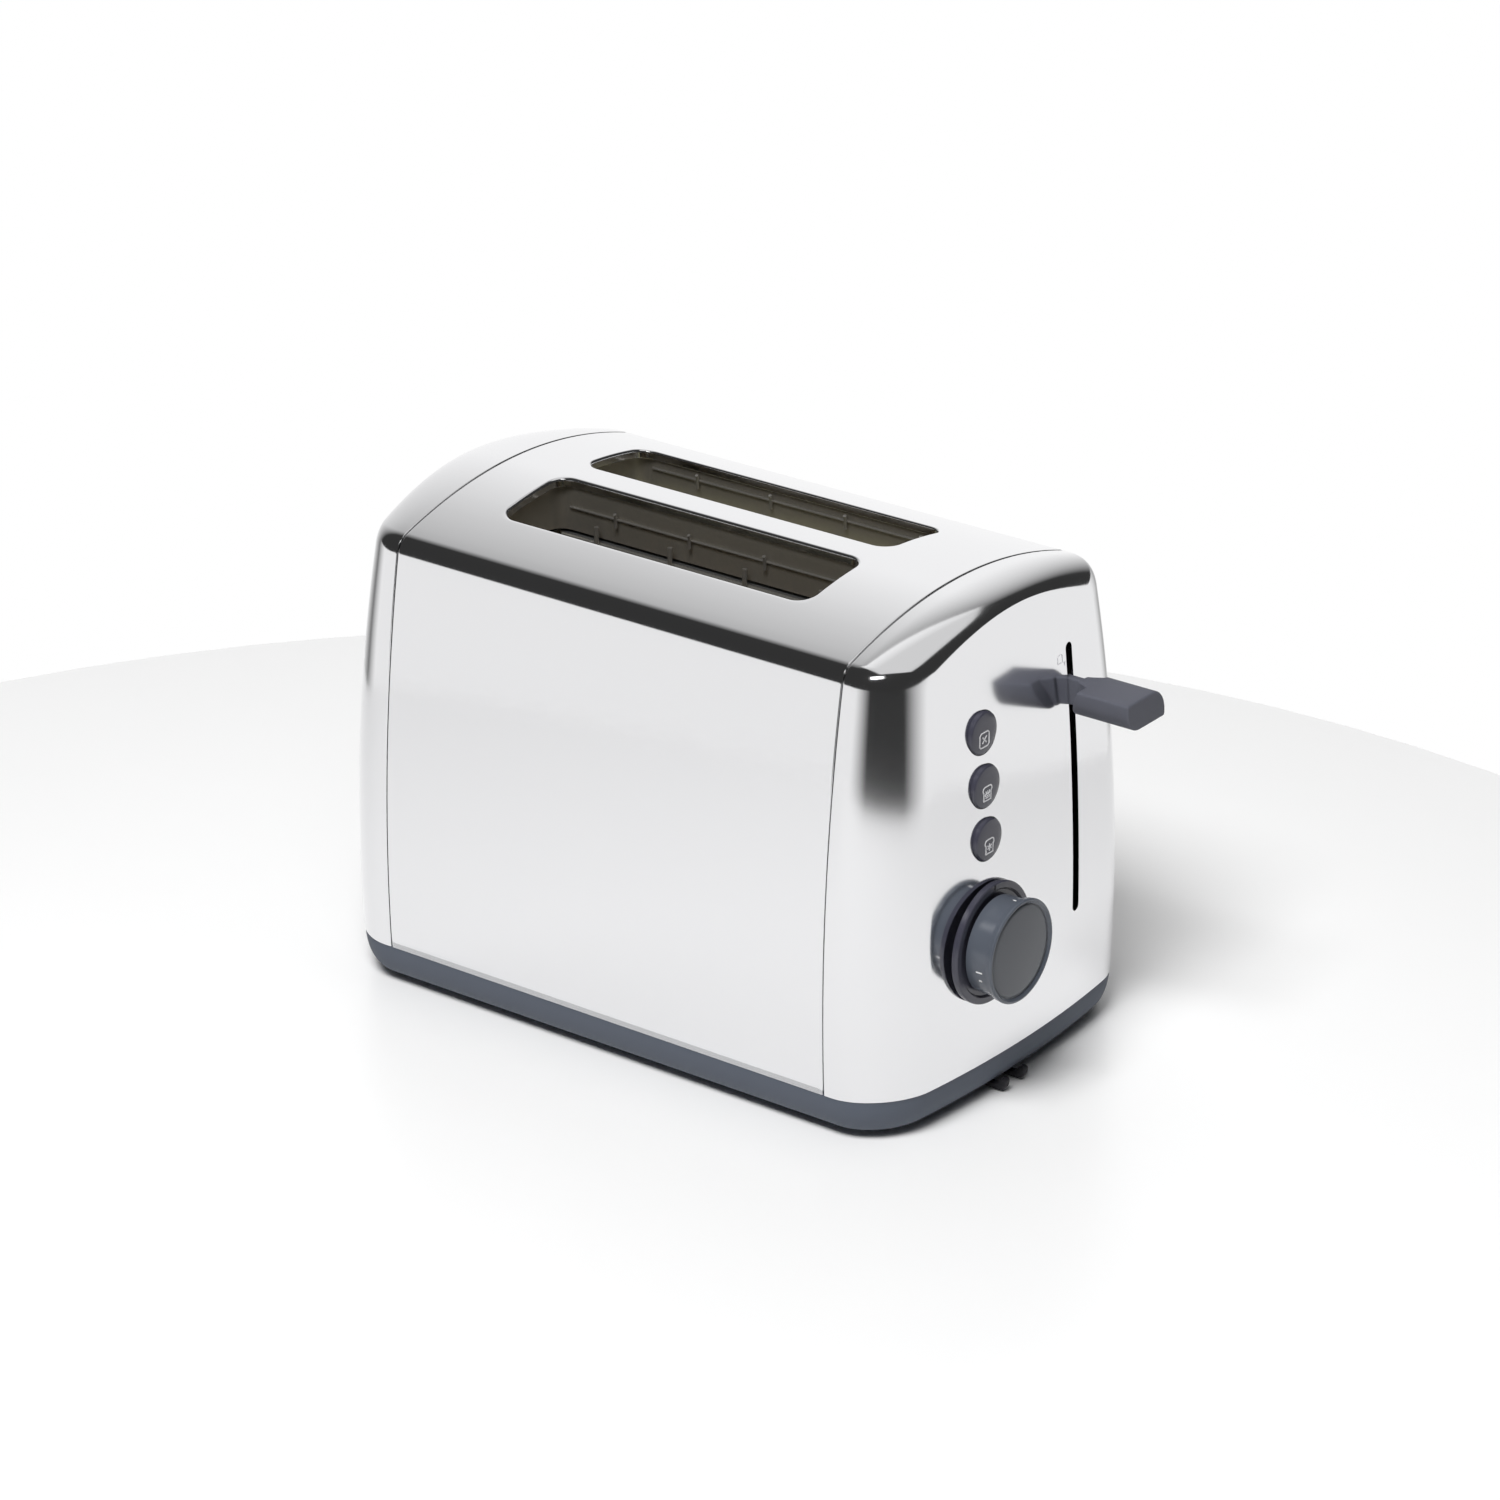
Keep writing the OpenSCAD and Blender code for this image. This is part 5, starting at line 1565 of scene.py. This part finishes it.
@dataclass
class BreadWell:
    """Wire bread guides, made as hooked wires on round bars, for one slot."""

    form: Form
    wire_r: float = 1.0 * MM
    pitch: float = 35 * MM
    count: int = 4
    end_gap: float = 3 * MM
    side_gap: float = 1.5 * MM
    rail_up: float = 9.5 * MM

    def build(self, repeat: Repeat) -> None:
        """Makes the four guides.

        Args:
            repeat: The tree that sets out copies.
        """
        for side, label in ((-1, "near"), (1, "far")):
            self._guide(repeat, f"{label}_inner", side, False)
            self._guide(repeat, f"{label}_outer", side, True)
            self._shroud(repeat, label, side)

    def _shroud(self, repeat: Repeat, label: str, side: int) -> None:
        """The sheet walls between a slot's turned-down edge and the frame below it.

        Args:
            repeat: The tree that sets out copies.
            label: Name of the slot.
            side: -1 for the near slot, 1 for the far one.
        """
        wrap = SteelWrap(self.form)
        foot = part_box("side_reflector_far")[1][2] + 2.5 * MM
        half_l, half_w, wall = wrap.slot_l / 2 + self.end_gap, wrap.slot_w / 2 + self.side_gap, 0.6 * MM
        mid_x, gap = self.form.middle - wrap.back, self.form.sheet + 0.5 * MM

        def ring(inset: float, crest: bool) -> Ring:
            """One closed line round the slot."""
            r = 7 * MM - inset
            line: Ring = []
            for sx, sy, start in ((1, 1, 0), (-1, 1, 90), (-1, -1, 180), (1, -1, 270)):
                corner = (sx * (half_l - inset - r), sy * (half_w - inset - r))
                for x, y in arc(corner, r, start, start + 90, 6):
                    at = side * wrap.slot_y + y
                    line.append(Vector((mid_x + x, at, self.form.top_z(at) - gap if crest else foot)))
            return line

        walls = Draft().loft([ring(0, False), ring(0, True), ring(wall, True), ring(wall, False),
                              ring(0, False)])
        obj = place(f"{label}_slot_shroud", walls.mesh(f"{label}_slot_shroud"), "reflector_sheet", 35.0)
        settle(obj, "housing", "reflector_sheet")
        self._rails(repeat, label, side, mid_x, foot + self.rail_up)

    def _rails(self, repeat: Repeat, label: str, side: int, mid_x: float, z: float) -> None:
        """A wire rail with short hooks along each long wall of a slot.

        Args:
            repeat: The tree that sets out copies.
            label: Name of the slot.
            side: -1 for the near slot, 1 for the far one.
            mid_x: X of the middle of the slot.
            z: Height of the rail.
        """
        wrap, r = SteelWrap(self.form), 0.55 * MM
        for name, hand in (("left", -1), ("right", 1)):
            y = side * wrap.slot_y + hand * (wrap.slot_w / 2 + self.side_gap - 0.6 * MM - r)
            half = wrap.slot_l / 2 - 4 * MM
            rail = tube([Vector((mid_x - half, y, z)), Vector((mid_x + half, y, z))], r, 10)
            obj = place(f"{label}_{name}_rail", rail.mesh(f"{label}_{name}_rail"), "guide_wire", 50.0)
            settle(obj, "housing", "guide_wire")
            hook = [Vector((0, 0, -3 * MM)), Vector((0, 0, 1.6 * MM)),
                    Vector((0, -hand * 0.5 * MM, 2.6 * MM))]
            start = Vector((mid_x - (self.count - 1) / 2 * self.pitch + 8 * MM, y - hand * 0.9 * MM, z))
            hooks = repeat(f"{label}_{name}_hooks", tube(hook, 0.7 * MM, 10), "guide_wire", self.count, start,
                           Vector((self.pitch, 0, 0)), crease=60.0)
            settle(hooks, "housing", "guide_wire")

    def _guide(self, repeat: Repeat, label: str, side: int, ledge: bool) -> None:
        """One guide: pivot wire, uprights, bars, and on an outer guide a ledge that the wires hook over.

        Args:
            repeat: The tree that sets out copies.
            label: Name of the guide, as its body has it.
            side: -1 for the near slot, 1 for the far one.
            ledge: Whether it is an outer guide with a ledge.
        """
        low, high = (Vector(c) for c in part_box(f"bread_guide_{label}"))
        w = self.wire_r
        pivot_z = low.z + w
        outward = side if ledge else -side
        y = (low.y + w) if outward > 0 else (high.y - w)
        x0, x1 = low.x + 9 * MM, high.x - 9 * MM
        top = high.z
        body = f"{label}_guide"
        bars = [tube([Vector((low.x, y, pivot_z)), Vector((high.x, y, pivot_z))], w, 12)]
        heights = [pivot_z + 45 * MM, top - 40 * MM] + ([] if ledge else [top - 9.5 * MM])
        for z in heights:
            at = y + outward * 1.7 * w
            bars.append(tube([Vector((x0, at, z)), Vector((x1, at, z))], 0.8 * w, 12))
        obj = place(f"{label}_bars", joined(*bars).mesh(f"{label}_bars"), "guide_wire", 50.0)
        settle(obj, body, "guide_wire", f"bread_guide_{label}")
        upright = [Vector((0, 0, 0)), Vector((0, 0, top - pivot_z - 2 * w))]
        if ledge:
            reach = abs(high.y - low.y) - 2 * w
            upright = [Vector((0, 0, 0)), Vector((0, 0, top - pivot_z - 1.2 * w))]
            hook = arc((outward * 1.4 * w, top - pivot_z - 1.2 * w), 1.4 * w,
                       180 if outward > 0 else 0, 90, 5)
            upright += [Vector((0, py, pz)) for py, pz in hook[1:]]
            upright += [Vector((0, outward * (reach + 0.6 * w), top - pivot_z + 0.2 * w))]
            upright += [Vector((0, outward * (reach + 0.9 * w), top - pivot_z - 3 * w))]
        step = Vector((self.pitch, 0, 0))
        start = Vector(((x0 + x1) / 2 - (self.count - 1) / 2 * self.pitch, y, pivot_z))
        wires = repeat(f"{label}_wires", tube(upright, 0.95 * w, 10), "guide_wire", self.count,
                       start, step, crease=60.0)
        settle(wires, body, "guide_wire")
        if ledge:
            z = top - 0.5 * w
            far = y + outward * (abs(high.y - low.y) - 2 * w)
            plate = slab([Vector((x0, y - outward * 0.2 * w, z - 0.9 * w)),
                          Vector((x1, y - outward * 0.2 * w, z - 0.9 * w)),
                          Vector((x1, far, z - 0.9 * w)), Vector((x0, far, z - 0.9 * w))],
                         Vector((0, 0, 0.7 * w)))
            shelf = place(f"{label}_ledge", plate.mesh(f"{label}_ledge"), "ledge_sheet")
            soften(shelf, 0.2 * MM)
            settle(shelf, body, "guide_wire")


# ---------------------------------------------------------------- studio


@dataclass(frozen=True)
class Studio:
    """Camera, floor, sky and lights."""

    azimuth: float = 37.09
    elevation: float = 24.09
    roll: float = -0.17
    focal: float = 134.12
    offset: tuple[float, float, float] = (1168.4 * MM, -1535.2 * MM, 960.6 * MM)
    table: float = 0.55
    table_shift: tuple[float, float] = (0.05, -0.2)
    dark: float = 0.035
    cards: tuple[float, float, float] = (0.6, 0.8, 0.0)

    def camera(self, middle: float) -> None:
        """Sets the camera.

        Args:
            middle: X of the middle of the body.
        """
        a, e = math.radians(self.azimuth), math.radians(self.elevation)
        right = Vector((math.cos(a), math.sin(a), 0))
        back = Vector((math.sin(a) * math.cos(e), -math.cos(a) * math.cos(e), math.sin(e)))
        up = back.cross(right)
        turn = Matrix((right, up, back)).transposed() @ Matrix.Rotation(math.radians(self.roll), 3, "Z")
        data = bpy.data.cameras.new("camera")
        data.lens = self.focal
        data.sensor_width = 36.0
        data.clip_end = 50.0
        obj = bpy.data.objects.new("camera", data)
        bpy.context.scene.collection.objects.link(obj)
        obj.matrix_world = Matrix.Translation(Vector(self.offset) + Vector((middle, 0, 0))) @ turn.to_4x4()
        bpy.context.scene.camera = obj

    def floor(self) -> None:
        """A round pale table top."""
        mesh = bpy.data.meshes.new("floor")
        rim = circle(Vector((*self.table_shift, 0)), self.table, Vector((1, 0, 0)), Vector((0, 1, 0)), 96)
        mesh.from_pydata([tuple(p) for p in rim], [], [tuple(range(96))])
        obj = bpy.data.objects.new("floor", mesh)
        bpy.context.scene.collection.objects.link(obj)
        look = Finish("floor_paint", (0.92, 0.92, 0.92), (0.93, 0.93, 0.93), 0.0, (0.3, 0.35),
                      Pattern.MOULDED, 2 * MM, 0.0)
        mesh.materials.append(look.material())

    def sky(self) -> None:
        """A studio sky: white sweeps behind and at two sides below eye level, and dark between them."""
        world = bpy.data.worlds.new("studio")
        bpy.context.scene.world = world
        world.use_nodes = True
        tree = Tree(world.node_tree)
        way = tree.add("ShaderNodeTexCoord").outputs["Generated"]
        parts = tree.add("ShaderNodeSeparateXYZ", None, Vector=way)
        across = tree.span(parts.outputs["X"], -0.5, -0.1, 1.0, 0.0)
        behind = tree.sum("MULTIPLY", across, tree.span(parts.outputs["Y"], -0.05, 0.7, 0.0, 1.0))
        level = tree.add("ShaderNodeVectorMath", {"operation": "MULTIPLY"})
        tree.tree.links.new(way, level.inputs[0])
        level.inputs[1].default_value = (1, 1, 0)
        flat = tree.add("ShaderNodeVectorMath", {"operation": "NORMALIZE"})
        tree.tree.links.new(level.outputs["Vector"], flat.inputs[0])
        cards = tree.add("ShaderNodeVectorMath", {"operation": "DOT_PRODUCT"})
        tree.tree.links.new(flat.outputs["Vector"], cards.inputs[0])
        cards.inputs[1].default_value = self.cards
        sides = tree.span(tree.sum("ABSOLUTE", cards.outputs["Value"]), 0.45, 0.88, self.dark, 0.92)
        below = tree.sum("LESS_THAN", parts.outputs["Z"], 0.0)
        glow = tree.sum("MAXIMUM", tree.sum("MAXIMUM", behind, self.dark), tree.sum("MULTIPLY", sides, below))
        seen = tree.add("ShaderNodeLightPath").outputs["Is Camera Ray"]
        shade = tree.add("ShaderNodeBackground", None, Color=(1, 1, 1, 1),
                         Strength=tree.sum("MAXIMUM", glow, seen))
        tree.add("ShaderNodeOutputWorld", None, Surface=shade.outputs["Background"])

    def light(self, name: str, at: Vector, aim: Vector, size: tuple[float, float], power: float,
              mirrored: bool = True) -> None:
        """One soft area light.

        Args:
            name: Its name.
            at: Its place.
            aim: The point that it faces.
            size: Width and height.
            power: Watts.
            mirrored: Whether polished pieces show it.
        """
        data = bpy.data.lights.new(name, "AREA")
        data.shape = "RECTANGLE"
        data.size, data.size_y = size
        data.energy = power
        obj = bpy.data.objects.new(name, data)
        bpy.context.scene.collection.objects.link(obj)
        obj.matrix_world = Matrix.Translation(at) @ (at - aim).to_track_quat("Z", "Y").to_matrix().to_4x4()
        obj.visible_glossy = mirrored

    def build(self, form: Form) -> None:
        """Sets the whole studio up.

        Args:
            form: The outer form.
        """
        bpy.context.scene.view_settings.view_transform = "Standard"
        self.camera(form.middle)
        self.floor()
        self.sky()
        aim = Vector((0, 0, 0.1))
        self.light("overhead", Vector((0.25, 0.45, 2.2)), aim, (2.2, 1.5), 7.0)
        self.light("key", Vector((0.35, -1.25, 2.2)), aim, (1.1, 0.8), 64.0, False)
        self.light("glint", Vector((1.0, -1.2, 1.9)), aim, (0.8, 0.45), 4.0)


# ---------------------------------------------------------------- the object


@dataclass
class Toaster:
    """The whole appliance."""

    form: Form

    def dress_cad(self) -> None:
        """Gives every carried-over CAD node the finish of its record slot."""
        slots = {row["node"]: row["material_slot"] for row in frame["record"]["subparts"]}
        for name, obj in frame["nodes"].items():
            look = FINISHES[slots[name]].material()
            if not obj.material_slots:
                obj.data.materials.append(look)
            for holder in obj.material_slots:
                holder.material = look

    def build(self) -> None:
        """Makes every visible piece."""
        repeat = Repeat()
        self.dress_cad()
        SteelWrap(self.form).build()
        controls = Controls(self.form)
        EndCap(self.form, True).build(controls.openings())
        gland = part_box("cord_gland")
        hole = lathe([(5.6 * MM, 0), (5.6 * MM, 20 * MM)],
                     Vector((gland[0][0] - 5 * MM, (gland[0][1] + gland[1][1]) / 2,
                             (gland[0][2] + gland[1][2]) / 2)),
                     Vector((1, 0, 0)), 48)
        EndCap(self.form, False).build(hole)
        Base(self.form).build(repeat)
        controls.build(repeat)
        BreadWell(self.form).build(repeat)


def main() -> None:
    """Builds the studio and the toaster."""
    logging.basicConfig(level=logging.INFO, format="%(name)s: %(message)s")
    form = Form.from_frame()
    Studio().build(form)
    Toaster(form).build()


if __name__ == "__main__":
    main()
